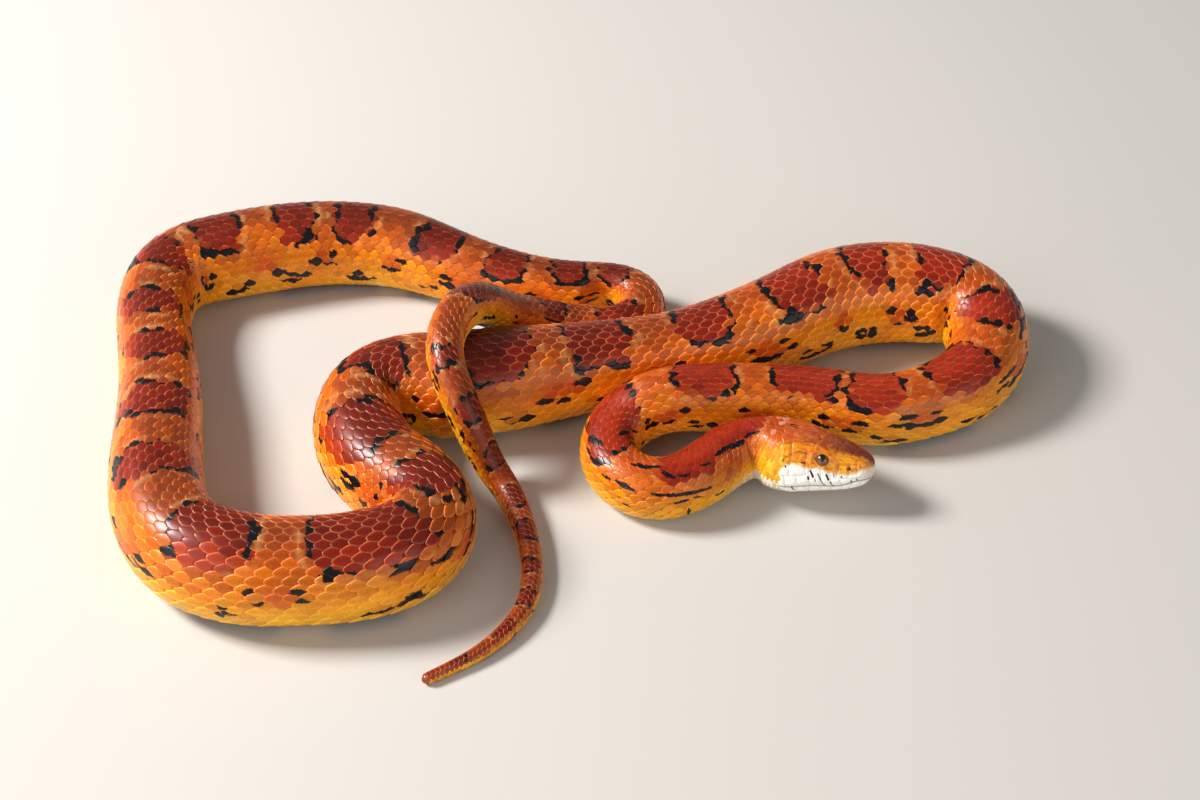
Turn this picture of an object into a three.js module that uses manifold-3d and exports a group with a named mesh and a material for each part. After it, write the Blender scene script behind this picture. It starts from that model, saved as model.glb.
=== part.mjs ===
// Adult corn snake, life size, lying in loose loops with its tail laid over its own back.
// Units are millimetres and +Z is up. +X runs to the right and +Y away, as the pose is seen
// from in front. The origin is on the floor, under the middle of the animal's outer box.

import * as THREE from "three";
import { mergeVertices } from "three/addons/utils/BufferGeometryUtils.js";
import Module from "manifold-3d";

const wasm = await Module();
wasm.setup();

// Driving sizes
const HEAD_LENGTH = 35.4;        // snout to the back of the jaw
const HEAD_TIP = 18;             // degrees that the crown leans to the left
const HEAD_TIP_END = 82;         // distance from the snout where the lean has gone
const NECK_END = 112;            // distances along the body, from the snout
const TRUNK_END = 980;
const NECK_SCUTES = 8;
const TRUNK_LENGTHS = 13;
const TRUNK_SCUTES = 7;          // coarse belly scutes on each length of trunk
const TAIL_LENGTHS = 4;
const TAIL_SCUTES = 7;
const GAP = 0.3;                 // clearance between neighbouring pieces
const EYE_RADIUS = 2.15;
const SCUTE_STEP = 0.5;          // depth of the groove between two belly scutes
const BODY_SIDES = 18;
const TAIL_SIDES = 12;
const HEAD_SIDES = 26;
const SHIELD_HEIGHT = 0.35;      // how far the shields stand out of the head

// The line through the middle of the body from snout to tail tip: x, y and how far it is
// lifted above its height at rest on the floor.
const ROUTE = [
  [94.5, -26, 5.3], [78, -19.5, 4.1], [62, -13, 2.8], [55.5, -12, 2.4], [48.5, -16.5, 1.8],
  [39, -25, 1], [27.5, -29, 0.4], [17, -23.5, 0.2], [12.3, -10.5, 0.8], [18, 0, 3],
  [29.5, 4, 7], [48, 8, 3.8], [74, 10, 0.5], [99, 6, 0], [114.3, 10, 0],
  [127.5, 17.5, 0], [136, 30.5, 0], [137, 43.5, 0], [131, 54.3, 0], [118, 58.5, 0],
  [104, 59, 0], [86.5, 55, 0], [69.3, 45.6, 0], [49.5, 36.7, 0], [29.5, 30.3, 0],
  [9.5, 24.7, 0], [-3, 20.7, 0], [-20, 15.7, 0], [-37.5, 12.2, 0], [-52, 11.5, 0],
  [-61.5, 6.5, 0], [-65, -8.5, 0], [-59.5, -22.3, 0], [-47.7, -34.5, 0], [-41.8, -48, 0],
  [-47.5, -60, 0], [-60.5, -67, 0], [-78.5, -69, 0], [-96, -68.5, 0], [-111.5, -61.5, 0],
  [-122, -46.5, 0], [-126.5, -27.5, 0], [-128.5, -7.5, 0], [-130.4, 10.5, 0], [-134.8, 33.5, 0],
  [-138, 52.5, 0], [-136.4, 68, 0], [-129.7, 76, 0], [-119, 80, 0], [-106, 84, 0],
  [-92.5, 87, 0], [-79, 88.5, 0], [-58.5, 86.3, 0], [-44.5, 80.5, 0], [-31, 74.8, 0],
  [-17, 70.6, 0], [-3.5, 68.8, 0], [7, 68.9, 0], [15, 68.9, 0], [21.8, 66.1, 0],
  [24.6, 59.4, 0], [21.8, 52.7, 0], [15, 49.9, 0], [3.5, 49.3, 0.5], [-8, 46.2, 6],
  [-19, 39.7, 15], [-30, 30.2, 28.3], [-36.5, 15.2, 34.3], [-38.5, 5.2, 33.2], [-37, -3.5, 30],
  [-33.2, -10.5, 24.5], [-28.8, -15, 14.5], [-24.6, -17.5, 4.5], [-19.3, -23, 0], [-15.2, -33.5, 0],
  [-11.5, -47.5, 0], [-10.3, -61.5, 0], [-12.5, -73, 0], [-18, -82.5, 0], [-26.5, -91, 0],
  [-35, -96.5, 0], [-41.5, -100.5, 0],
];

// Girth: distance from the snout and body radius there
const GIRTH = [
  [0, 10.2], [36, 10.2], [60, 9.7], [100, 9.4], [125, 10.2], [150, 11.2], [212, 11.3],
  [262, 14.6], [287, 16.5], [312, 16.7], [335, 15.3], [372, 13.1], [400, 14.4], [428, 16.6],
  [448, 17], [470, 16.2], [500, 15.2], [545, 16.1], [580, 15.9], [602, 16.6], [640, 15.4],
  [690, 13.6], [715, 12.7], [738, 12.8], [762, 14.4], [790, 14.5], [828, 13.6], [860, 11.3],
  [890, 9.5], [928, 8.4], [960, 7.6], [990, 7.1], [1020, 6.2], [1050, 5.6], [1085, 4.1],
  [1115, 3.3], [1140, 2.6], [1158, 1.8],
];

// Body section, as shares of the radius
const SECTION = { side: 0.97, back: 1.04, belly: 0.94, backRound: 2.1, bellyRound: 2.5 };
const BELLY_FLAT_FROM = 150;     // degrees round from the back to where the flat belly starts
const SCUTE_FROM = 130;          // degrees round to where the belly scutes start
const BEND_SHARE = 0.84;         // most of a bend's radius that the inner side may fill
const BEND_REACH = 25;           // distance each way in which neighbouring sections count
const FAR = 1000;                // stands for no limit on a straight stretch
const ROUTE_SMOOTHING = 4;       // millimetres each way over which the route is averaged
const GIRTH_SMOOTHING = 8;
const FLATTER_BY_HEAD = 0.12;    // share of the radius taken off the back next to the head
const SCUTE_RINGS = { edge: 0.8, deepest: 0.9 };   // where a scute's groove starts and lies

// Head: distance from the snout, half width, crown above and chin below the middle line
const HEAD = [
  [0.3, 2.1, 1.9, 1.9], [1, 3.5, 3, 3.2], [2.3, 4.8, 4.1, 4.4], [4.4, 5.8, 5, 5.5],
  [7.3, 6.9, 5.8, 6.5], [10.4, 7.9, 6.6, 7.2], [14.6, 9.2, 7.4, 8.1], [18.7, 10.5, 8, 9],
  [24, 11.9, 8.7, 10], [28, 12.3, 9, 10.4], [32, 11.5, 9.2, 10.2], [35.4, 10.2, 9.4, 9.7],
];
// Distances from the snout at which the head's sections are drawn
const HEAD_RINGS = [0.3, 1, 2.3, 4, 6, 8.2, 10.4, 12.5, 14.6, 16.8, 19, 21.5, 24, 26.5, 29, 32, 35.4];

// One side of a head section from crown to chin, as shares of the half width and of the
// crown's height (above 0) or the chin's depth (below 0)
const HEAD_OUTLINE = [
  [0, 1], [0.42, 0.97], [0.72, 0.8], [0.9, 0.38], [1, -0.15], [1, -0.45], [0.93, -0.74],
  [0.6, -0.96], [0, -1],
];

// Places on the head, as distance from the snout and height over the middle line
const EYE = { back: 14.9, side: 6.75, up: 3.8, depth: 0.95, upTurn: 28, frontTurn: 16 };
const NOSTRIL = { back: 4.3, side: 5.7, up: 0.7, radius: 0.7 };
const MOUTH_LINE = [[-3, -2.2], [2.2, -3.1], [8, -4.9], [14.5, -6.1], [21, -6.9], [27, -6.6]];
const JAW_END = [[29, -8.5], [30, -16]];
const SHIELD_SEAM = 0.22;        // half the groove between two shields
const ACROSS = 20;               // half width of a block that reaches right across the head
const OVER_CROWN = [2, 14];      // heights between which a block meets only the crown

const COLOURS = {
  back: 0xa8401a,
  tail: 0x8e2f18,
  head: 0xc66a26,
  jaw: 0xeee2cf,
  eye: 0x0b0808,
};

const radians = THREE.MathUtils.degToRad;

/** Straight-line value between the rows of a table whose first column rises. */
function valueAt(table, at, column) {
  const last = table.length - 1;
  if (at <= table[0][0]) return table[0][column];
  if (at >= table[last][0]) return table[last][column];
  let row = 0;
  while (table[row + 1][0] < at) row += 1;
  const share = (at - table[row][0]) / (table[row + 1][0] - table[row][0]);
  return THREE.MathUtils.lerp(table[row][column], table[row + 1][column], share);
}

/** Moving average of a list of numbers, the ends held by turning the list about them. */
function averaged(list, reach) {
  const last = list.length - 1;
  const value = (i) => {
    if (i < 0) return 2 * list[0] - list[-i];
    if (i > last) return 2 * list[last] - list[2 * last - i];
    return list[i];
  };
  return list.map((_, i) => {
    let sum = 0;
    for (let k = -reach; k <= reach; k += 1) sum += value(i + k);
    return sum / (2 * reach + 1);
  });
}

/** Points about 1 mm apart along a list of points. */
function evenPoints(points) {
  const distance = [0];
  points.slice(1).forEach((point, i) => distance.push(distance[i] + point.distanceTo(points[i])));
  const total = distance[distance.length - 1];
  const count = Math.round(total);
  const even = [];
  let row = 0;
  for (let i = 0; i <= count; i += 1) {
    const at = (total * i) / count;
    while (row < points.length - 2 && distance[row + 1] < at) row += 1;
    const share = (at - distance[row]) / (distance[row + 1] - distance[row]);
    even.push(points[row].clone().lerp(points[row + 1], share));
  }
  return { even, step: total / count };
}

/** The middle line with its radius and axes, at about every millimetre. */
function makeSpine() {
  const curve = new THREE.CatmullRomCurve3(ROUTE.map((point) => new THREE.Vector3(...point)));
  const first = evenPoints(curve.getPoints(12 * (ROUTE.length - 1)));
  let columns = ["x", "y", "z"].map((key) => first.even.map((point) => point[key]));
  columns = columns.map((list) => averaged(averaged(list, ROUTE_SMOOTHING), ROUTE_SMOOTHING));
  const rounded = columns[0].map((x, i) => new THREE.Vector3(x, columns[1][i], columns[2][i]));
  const { even, step } = evenPoints(rounded);
  const girth = even.map((_, i) => valueAt(GIRTH, i * step, 1));
  const radius = averaged(averaged(girth, GIRTH_SMOOTHING), GIRTH_SMOOTHING);
  const points = even.map((p, i) => new THREE.Vector3(p.x, p.y, p.z + SECTION.belly * radius[i]));
  const last = points.length - 1;
  const along = points.map((_, i) =>
    points[Math.min(i + 1, last)].clone().sub(points[Math.max(i - 1, 0)]).normalize());
  const level = along.map((t) => new THREE.Vector3(t.y, -t.x, 0).normalize());
  const roomOn = (sign) => {
    const room = points.map((point, i) => {
      let nearest = FAR;
      for (let k = Math.max(i - BEND_REACH, 0); k <= Math.min(i + BEND_REACH, last); k += 1) {
        const ahead = points[k].clone().sub(point).dot(along[k]);
        const slope = sign * level[i].dot(along[k]);
        if (k !== i && ahead / slope > 0) nearest = Math.min(nearest, ahead / slope);
      }
      return nearest;
    });
    return averaged(room, 3);
  };
  return { points, radius, along, left: roomOn(1), right: roomOn(-1), step, length: last * step };
}

const spine = makeSpine();

/** Middle, axes, radius and the room on the inner side of bends, at a distance from the snout. */
function stationAt(at) {
  const last = spine.points.length - 1;
  const place = THREE.MathUtils.clamp(at / spine.step, 0, last);
  const i = Math.min(Math.floor(place), last - 1);
  const share = place - i;
  const along = spine.along[i].clone().lerp(spine.along[i + 1], share).normalize();
  const middle = spine.points[i].clone().lerp(spine.points[i + 1], share);
  if (at < 0) middle.addScaledVector(along, at);
  const level = new THREE.Vector3(along.y, -along.x, 0).normalize();
  const upright = level.clone().cross(along);
  const lean = radians(HEAD_TIP) * (1 - THREE.MathUtils.smoothstep(at, HEAD_LENGTH, HEAD_TIP_END));
  const left = level.clone().multiplyScalar(Math.cos(lean)).addScaledVector(upright, -Math.sin(lean));
  const up = upright.clone().multiplyScalar(Math.cos(lean)).addScaledVector(level, Math.sin(lean));
  return {
    middle, left, up,
    radius: THREE.MathUtils.lerp(spine.radius[i], spine.radius[i + 1], share),
    room: {
      left: THREE.MathUtils.lerp(spine.left[i], spine.left[i + 1], share),
      right: THREE.MathUtils.lerp(spine.right[i], spine.right[i + 1], share),
    },
  };
}

/** A point given by distance from the snout, to the left of the middle line and above it. */
function placed(at, side, height) {
  const station = stationAt(at);
  return station.middle.clone().addScaledVector(station.left, side).addScaledVector(station.up, height);
}

/** Signed power: the size is raised, the sign is kept. */
function power(value, exponent) {
  return Math.sign(value) * Math.abs(value) ** exponent;
}

/** One ring of the body, drawn in by a groove along the belly if asked. */
function bodyRing(at, sides, groove) {
  const { radius, room } = stationAt(at);
  const byHead = 1 - THREE.MathUtils.smoothstep(at, HEAD_LENGTH, HEAD_TIP_END);
  const ring = [];
  for (let i = 0; i < sides; i += 1) {
    const turn = (360 * i) / sides;
    const fromBack = Math.min(turn, 360 - turn);
    const cosine = Math.cos(radians(turn));
    const sine = Math.sin(radians(turn));
    const round = 2 / (cosine > 0 ? SECTION.backRound : SECTION.bellyRound);
    const half = Math.min(SECTION.side * radius, BEND_SHARE * (sine > 0 ? room.left : room.right));
    const rise = cosine > 0 ? SECTION.back - FLATTER_BY_HEAD * byHead : SECTION.belly;
    let height = radius * rise * power(cosine, round);
    if (fromBack >= BELLY_FLAT_FROM) height = -SECTION.belly * radius;
    let shrink = 1;
    if (groove && fromBack >= SCUTE_FROM) shrink = 1 - SCUTE_STEP / radius;
    const point = placed(at, half * power(sine, round) * shrink, height * shrink);
    point.z = Math.max(point.z, 0);
    ring.push(point);
  }
  return ring;
}

/** Closed mesh through rings of equal count, each end filled from its middle. */
function loft(rings) {
  const sides = rings[0].length;
  const vertices = rings.flat();
  const faces = [];
  for (let r = 0; r < rings.length - 1; r += 1) {
    for (let i = 0; i < sides; i += 1) {
      const next = (i + 1) % sides;
      const a = r * sides + i;
      const b = r * sides + next;
      faces.push(a, b, a + sides, b, b + sides, a + sides);
    }
  }
  [[rings[0], 0], [rings[rings.length - 1], (rings.length - 1) * sides]].forEach(([ring, start]) => {
    const middle = ring.reduce((sum, p) => sum.add(p), new THREE.Vector3()).divideScalar(sides);
    const centre = vertices.push(middle) - 1;
    for (let i = 0; i < sides; i += 1) {
      const next = (i + 1) % sides;
      if (start === 0) faces.push(centre, start + next, start + i);
      else faces.push(centre, start + i, start + next);
    }
  });
  return geometryFrom(vertices, faces);
}

/** Geometry from points and triangle corners. */
function geometryFrom(vertices, faces) {
  const geometry = new THREE.BufferGeometry();
  const flat = vertices.flatMap((vertex) => [vertex.x, vertex.y, vertex.z]);
  geometry.setAttribute("position", new THREE.Float32BufferAttribute(flat, 3));
  geometry.setIndex(faces);
  return geometry;
}

/** Solid for joining and cutting, from a closed geometry. */
function solidFrom(geometry) {
  const bare = geometry.clone();
  bare.deleteAttribute("normal");
  bare.deleteAttribute("uv");
  const merged = mergeVertices(bare, 1e-4);
  return new wasm.Manifold(new wasm.Mesh({
    numProp: 3,
    vertProperties: Float32Array.from(merged.attributes.position.array),
    triVerts: Uint32Array.from(merged.index.array),
  }));
}

/** Geometry of a solid built along a straight head, laid onto the bent middle line. */
function laidOut(solid) {
  const mesh = solid.getMesh();
  const vertices = [];
  for (let i = 0; i < mesh.vertProperties.length; i += mesh.numProp) {
    const [x, y, z] = mesh.vertProperties.slice(i, i + 3);
    vertices.push(placed(-x, y, z));
  }
  return geometryFrom(vertices, Array.from(mesh.triVerts));
}

/** A named mesh in a plain finish. */
function piece(name, geometry, colour, roughness = 0.45) {
  geometry.computeVertexNormals();
  const material = new THREE.MeshStandardMaterial({ color: colour, roughness, metalness: 0 });
  const mesh = new THREE.Mesh(geometry, material);
  mesh.name = name;
  return mesh;
}

// Head, built straight: x runs forward from the snout (so it is 0 or less), y to the left

/** Smooth closed outline of the head at a distance from the snout, grown by some depth. */
function headRing(back, grow = 0) {
  const half = valueAt(HEAD, back, 1) + grow;
  const crown = valueAt(HEAD, back, 2) + grow;
  const chin = valueAt(HEAD, back, 3) + grow;
  const scaled = ([side, height]) => new THREE.Vector2(side * half, height * (height > 0 ? crown : chin));
  const oneSide = HEAD_OUTLINE.map(scaled);
  const otherSide = oneSide.slice(1, -1).reverse().map((p) => new THREE.Vector2(-p.x, p.y));
  const whole = [...oneSide, ...otherSide].map((p) => new THREE.Vector3(-back, p.x, p.y));
  const curve = new THREE.CatmullRomCurve3(whole, true, "catmullrom", 0.5);
  const ring = [];
  for (let i = 0; i < HEAD_SIDES; i += 1) ring.push(curve.getPoint(i / HEAD_SIDES));
  return ring;
}

/** The head's bare form, or a skin round it when grown. */
function headForm(grow = 0) {
  return solidFrom(loft(HEAD_RINGS.map((back) => headRing(back, grow))));
}

/** An upright block through the head, on a plan outline of [back, side] corners. */
function planBlock(corners, from, to) {
  const shape = new THREE.Shape(corners.map(([back, side]) => new THREE.Vector2(-back, side)));
  const block = new THREE.ExtrudeGeometry(shape, { depth: to - from, bevelEnabled: false, steps: 1 });
  return solidFrom(block.translate(0, 0, from));
}

/** A block across the head, on a side-view outline of [back, height] corners. */
function sideBlock(corners, from, to) {
  const shape = new THREE.Shape(corners.map(([back, height]) => new THREE.Vector2(-back, height)));
  const block = new THREE.ExtrudeGeometry(shape, { depth: to - from, bevelEnabled: false, steps: 1 });
  return solidFrom(block.rotateX(Math.PI / 2).translate(0, to, 0));
}

/** A plan outline drawn in by half a seam all round, towards its own middle. */
function drawnIn(corners) {
  const middle = [0, 1].map((k) => corners.reduce((sum, c) => sum + c[k], 0) / corners.length);
  return corners.map((corner) => {
    const reach = Math.hypot(corner[0] - middle[0], corner[1] - middle[1]);
    const share = 1 - (1.4 * SHIELD_SEAM) / reach;
    return corner.map((value, k) => middle[k] + (value - middle[k]) * share);
  });
}

/** The same outline on the other side of the head. */
function mirrored(corners) {
  return corners.map(([back, side]) => [back, -side]).reverse();
}

// Crown shields in plan, on the left side or across the middle, as [back, side] corners
const FRONTAL = [[10.6, 0], [11.4, -2.7], [16.8, -2], [18.6, 0], [16.8, 2], [11.4, 2.7]];
const PAIRED_SHIELDS = [
  [[3.2, 0.1], [6.2, 0.1], [6.4, 4.6], [3.8, 4]],
  [[6.4, 0.1], [10.4, 0.2], [11, 2.8], [9.8, 6], [6.7, 5]],
  [[11.4, 3.1], [16.6, 2.4], [17.8, 4.8], [16.6, 7.4], [11, 6.4]],
  [[18.9, 0.1], [17.2, 2.2], [18.2, 5], [20.5, 7.6], [26, 5.6], [28.6, 0.1]],
];
const UPPER_LABIALS = 7;
const LABIAL_ROW = { front: 3, back: 26, slant: 0.9, height: 2.9 };

/** The shields of the crown, as one list of blocks. */
function crownBlocks() {
  const outlines = [FRONTAL];
  PAIRED_SHIELDS.forEach((corners) => outlines.push(corners, mirrored(corners)));
  return outlines.map((corners) => planBlock(drawnIn(corners), ...OVER_CROWN));
}

/** Height of the mouth line at a distance from the snout. */
function mouthHeight(back) {
  return valueAt(MOUTH_LINE, back, 1);
}

/** The scales of the upper lip, as blocks that reach right across the head. */
function labialBlocks() {
  const { front, back, slant, height } = LABIAL_ROW;
  const pitch = (back - front) / UPPER_LABIALS;
  const blocks = [];
  for (let i = 0; i < UPPER_LABIALS; i += 1) {
    const from = front + i * pitch + SHIELD_SEAM;
    const to = front + (i + 1) * pitch - SHIELD_SEAM;
    blocks.push(sideBlock([
      [from, mouthHeight(from) - 0.1], [to, mouthHeight(to) - 0.1],
      [to - slant, mouthHeight(to) + height], [from - slant, mouthHeight(from) + height],
    ], -ACROSS, ACROSS));
  }
  return blocks;
}

/** The ball that an eye or its socket fills. */
function eyeBall(side, radius, detail) {
  const ball = new THREE.SphereGeometry(radius, detail, detail * 0.6);
  ball.rotateX(-side * Math.PI / 2);
  return solidFrom(ball.translate(-EYE.back, side * EYE.side, EYE.up));
}

/** The raised ring of small scales round an eye, square to the side of the head there. */
function eyeRim(side) {
  const ring = new THREE.TorusGeometry(EYE_RADIUS + 0.25, 0.42, 6, 20);
  ring.translate(0, 0, EYE.depth);
  ring.rotateX(-side * radians(90 - EYE.upTurn));
  ring.rotateZ(-side * radians(EYE.frontTurn));
  return solidFrom(ring.translate(-EYE.back, side * EYE.side, EYE.up));
}

/** The thin cut that parts the lower jaw from the head. */
function mouthCut() {
  const line = [...MOUTH_LINE, ...JAW_END];
  const under = line.map(([back, height], i) =>
    (i < MOUTH_LINE.length ? [back, height - GAP] : [back - GAP, height]));
  return sideBlock([...line, ...under.reverse()], -ACROSS, ACROSS);
}

/** Head and lower jaw as two solids, with sockets, rims, nostrils and shields. */
function makeHead() {
  const skin = headForm(SHIELD_HEIGHT);
  let whole = headForm();
  [...crownBlocks(), ...labialBlocks()].forEach((block) => {
    whole = whole.add(skin.intersect(block));
  });
  [-1, 1].forEach((side) => {
    whole = whole.add(eyeRim(side)).subtract(eyeBall(side, EYE_RADIUS + GAP, 20));
    const pit = new THREE.SphereGeometry(NOSTRIL.radius, 8, 6);
    pit.translate(-NOSTRIL.back, side * NOSTRIL.side, NOSTRIL.up);
    whole = whole.subtract(solidFrom(pit));
  });
  const parts = whole.subtract(mouthCut()).decompose();
  return parts.sort((a, b) => b.volume() - a.volume()).slice(0, 2);
}

// Body lengths

/** Rings of one length of body between two distances, with evenly spread belly scutes. */
function bodyRings(from, to, scutes, sides) {
  const pitch = (to - from) / scutes;
  const rings = [];
  for (let i = 0; i < scutes; i += 1) {
    const start = from + i * pitch;
    rings.push(bodyRing(i === 0 ? start + GAP : start, sides, false));
    rings.push(bodyRing(start + SCUTE_RINGS.edge * pitch, sides, false));
    if (i < scutes - 1) rings.push(bodyRing(start + SCUTE_RINGS.deepest * pitch, sides, true));
  }
  rings.push(bodyRing(to, sides, false));
  return rings;
}

/** One named length of body, from one distance to another. */
function bodyLength(name, from, to, scutes, sides, colour) {
  return piece(name, loft(bodyRings(from, to, scutes, sides)), colour);
}

const group = new THREE.Group();

const [headSolid, jawSolid] = makeHead();
group.add(piece("head", laidOut(headSolid), COLOURS.head));
group.add(piece("lower_jaw", laidOut(jawSolid), COLOURS.jaw));
group.add(piece("eye_left", laidOut(eyeBall(1, EYE_RADIUS, 14)), COLOURS.eye, 0.08));
group.add(piece("eye_right", laidOut(eyeBall(-1, EYE_RADIUS, 14)), COLOURS.eye, 0.08));
group.add(bodyLength("neck", HEAD_LENGTH, NECK_END, NECK_SCUTES, BODY_SIDES, COLOURS.head));

const trunkStep = (TRUNK_END - NECK_END) / TRUNK_LENGTHS;
for (let i = 0; i < TRUNK_LENGTHS; i += 1) {
  const from = NECK_END + i * trunkStep;
  const name = `trunk_${String(i + 1).padStart(2, "0")}`;
  group.add(bodyLength(name, from, from + trunkStep, TRUNK_SCUTES, BODY_SIDES, COLOURS.back));
}

const tailStep = (spine.length - TRUNK_END) / TAIL_LENGTHS;
for (let i = 0; i < TAIL_LENGTHS; i += 1) {
  const from = TRUNK_END + i * tailStep;
  group.add(bodyLength(`tail_${i + 1}`, from, from + tailStep, TAIL_SCUTES, TAIL_SIDES, COLOURS.tail));
}

export default group;
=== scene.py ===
"""Looks of the adult corn snake: one skin, its coat of scales, its belly scutes and its eyes.

Sizes are in millimetres along the animal and across it; meshes are written in metres, in the
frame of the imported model. Distances along the body are measured from the snout. Round the
body, a share of the girth is 0 along the back and runs to 1 down the left side and to -1 down
the right, both meeting along the middle of the belly.
"""

from __future__ import annotations

import logging
import math
from collections.abc import Callable
from dataclasses import dataclass, field
from enum import Enum

import bpy
import numpy as np
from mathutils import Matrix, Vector

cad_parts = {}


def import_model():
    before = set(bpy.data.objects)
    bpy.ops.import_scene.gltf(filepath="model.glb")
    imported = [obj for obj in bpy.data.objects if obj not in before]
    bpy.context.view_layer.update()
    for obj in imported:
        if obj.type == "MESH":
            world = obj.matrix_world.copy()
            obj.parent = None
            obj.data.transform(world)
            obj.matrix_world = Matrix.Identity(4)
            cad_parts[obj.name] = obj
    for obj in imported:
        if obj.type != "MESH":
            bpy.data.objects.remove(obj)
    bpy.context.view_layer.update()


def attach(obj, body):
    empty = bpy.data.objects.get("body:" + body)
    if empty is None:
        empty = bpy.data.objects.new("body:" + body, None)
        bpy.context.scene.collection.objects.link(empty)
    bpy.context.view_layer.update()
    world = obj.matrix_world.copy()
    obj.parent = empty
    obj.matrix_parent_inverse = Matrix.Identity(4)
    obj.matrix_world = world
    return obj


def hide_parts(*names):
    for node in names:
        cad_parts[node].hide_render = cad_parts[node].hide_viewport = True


Array = np.ndarray
LOG = logging.getLogger("corn_snake")
MM = 0.001
SEED = 11

# The line through the middle of the body, x, y and lift over its height at rest
ROUTE = np.array([
    (94.5, -26, 5.3), (78, -19.5, 4.1), (62, -13, 2.8), (55.5, -12, 2.4), (48.5, -16.5, 1.8),
    (39, -25, 1), (27.5, -29, 0.4), (17, -23.5, 0.2), (12.3, -10.5, 0.8), (18, 0, 3),
    (29.5, 4, 7), (48, 8, 3.8), (74, 10, 0.5), (99, 6, 0), (114.3, 10, 0),
    (127.5, 17.5, 0), (136, 30.5, 0), (137, 43.5, 0), (131, 54.3, 0), (118, 58.5, 0),
    (104, 59, 0), (86.5, 55, 0), (69.3, 45.6, 0), (49.5, 36.7, 0), (29.5, 30.3, 0),
    (9.5, 24.7, 0), (-3, 20.7, 0), (-20, 15.7, 0), (-37.5, 12.2, 0), (-52, 11.5, 0),
    (-61.5, 6.5, 0), (-65, -8.5, 0), (-59.5, -22.3, 0), (-47.7, -34.5, 0), (-41.8, -48, 0),
    (-47.5, -60, 0), (-60.5, -67, 0), (-78.5, -69, 0), (-96, -68.5, 0), (-111.5, -61.5, 0),
    (-122, -46.5, 0), (-126.5, -27.5, 0), (-128.5, -7.5, 0), (-130.4, 10.5, 0), (-134.8, 33.5, 0),
    (-138, 52.5, 0), (-136.4, 68, 0), (-129.7, 76, 0), (-119, 80, 0), (-106, 84, 0),
    (-92.5, 87, 0), (-79, 88.5, 0), (-58.5, 86.3, 0), (-44.5, 80.5, 0), (-31, 74.8, 0),
    (-17, 70.6, 0), (-3.5, 68.8, 0), (7, 68.9, 0), (15, 68.9, 0), (21.8, 66.1, 0),
    (24.6, 59.4, 0), (21.8, 52.7, 0), (15, 49.9, 0), (3.5, 49.3, 0.5), (-8, 46.2, 6),
    (-19, 39.7, 15), (-30, 30.2, 28.3), (-36.5, 15.2, 34.3), (-38.5, 5.2, 33.2), (-37, -3.5, 30),
    (-33.2, -10.5, 24.5), (-28.8, -15, 14.5), (-24.6, -17.5, 4.5), (-19.3, -23, 0), (-15.2, -33.5, 0),
    (-11.5, -47.5, 0), (-10.3, -61.5, 0), (-12.5, -73, 0), (-18, -82.5, 0), (-26.5, -91, 0),
    (-35, -96.5, 0), (-41.5, -100.5, 0),
])

# Distance from the snout and body radius there
GIRTH = np.array([
    (0, 10.2), (36, 10.2), (60, 9.7), (100, 9.4), (125, 10.2), (150, 11.2), (212, 11.3),
    (262, 14.6), (287, 16.5), (312, 16.7), (335, 15.3), (372, 13.1), (400, 14.4), (428, 16.6),
    (448, 17), (470, 16.2), (500, 15.2), (545, 16.1), (580, 15.9), (602, 16.6), (640, 15.4),
    (690, 13.6), (715, 12.7), (738, 12.8), (762, 14.4), (790, 14.5), (828, 13.6), (860, 11.3),
    (890, 9.5), (928, 8.4), (960, 7.6), (990, 7.1), (1020, 6.2), (1050, 5.6), (1085, 4.1),
    (1115, 3.3), (1140, 2.6), (1158, 1.8),
])

# Distance from the snout, half width, crown over the middle line and chin under it
HEAD = np.array([
    (0, 0.9, 0.8, 0.8), (0.3, 2.1, 1.9, 1.9), (1, 3.5, 3, 3.2), (2.3, 4.8, 4.1, 4.4), (4.4, 5.8, 5, 5.5),
    (7.3, 6.9, 5.8, 6.5), (10.4, 7.9, 6.6, 7.2), (14.6, 9.2, 7.4, 8.1), (18.7, 10.5, 8, 9),
    (24, 11.9, 8.7, 10), (28, 12.3, 9, 10.4), (32, 11.5, 9.2, 10.2), (35.4, 10.2, 9.4, 9.7),
])
# Left half of a head section from crown to chin, in shares of its half width and its heights
HEAD_OUTLINE = np.array([
    (0, 1), (0.42, 0.97), (0.72, 0.8), (0.9, 0.38), (1, -0.15), (1, -0.45), (0.93, -0.74),
    (0.6, -0.96), (0, -1),
])
HEAD_LENGTH = 35.4
# Roll of the head that lifts its right side, and where behind the head it has faded out
HEAD_TIP = math.radians(18)
HEAD_TIP_END = 82
TRUNK_END = 980
# Height of the middle line over the belly, as a share of the radius
REST = 0.94

# The mouth line from the snout back: distance and height
MOUTH_LINE = (
    (0.0, -1.6), (2.2, -1.9), (4, -2.3), (5.5, -3), (8, -4.1), (10.5, -4.6), (14, -4.8), (17, -5),
    (21, -5.9), (24.5, -6.6), (27, -6.5),
)
# Middle of an eyeball: distance, side and height
EYE_PLACE = (14.9, 7.0, 3.1)
EYE_RADIUS = 2.15
# Where the socket opens and where the pupil looks, turned up and to the front from straight out
EYE_UP_TURN = math.radians(20)
EYE_FRONT_TURN = math.radians(-9)
LOOK_UP_TURN = math.radians(41)
LOOK_FRONT_TURN = math.radians(-2)
# Where the shields of the head end and the coat starts, by share of the half girth
HEAD_REAR = (
    (0, 0.03, 0.07, 0.11, 0.15, 0.18, 0.22, 0.26, 0.29, 0.33, 0.37, 0.4, 0.42, 0.455, 0.49, 0.53,
     0.57, 0.61, 0.66, 0.8, 1.0),
    (28.1, 28.7, 29.0, 28.7, 27.7, 28.0, 28.0, 26.9, 27.5, 27.5, 26.4, 27.1, 27.1, 26.0, 26.7, 26.6,
     25.6, 26.2, 25.9, 22.5, 20.3),
)

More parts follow.
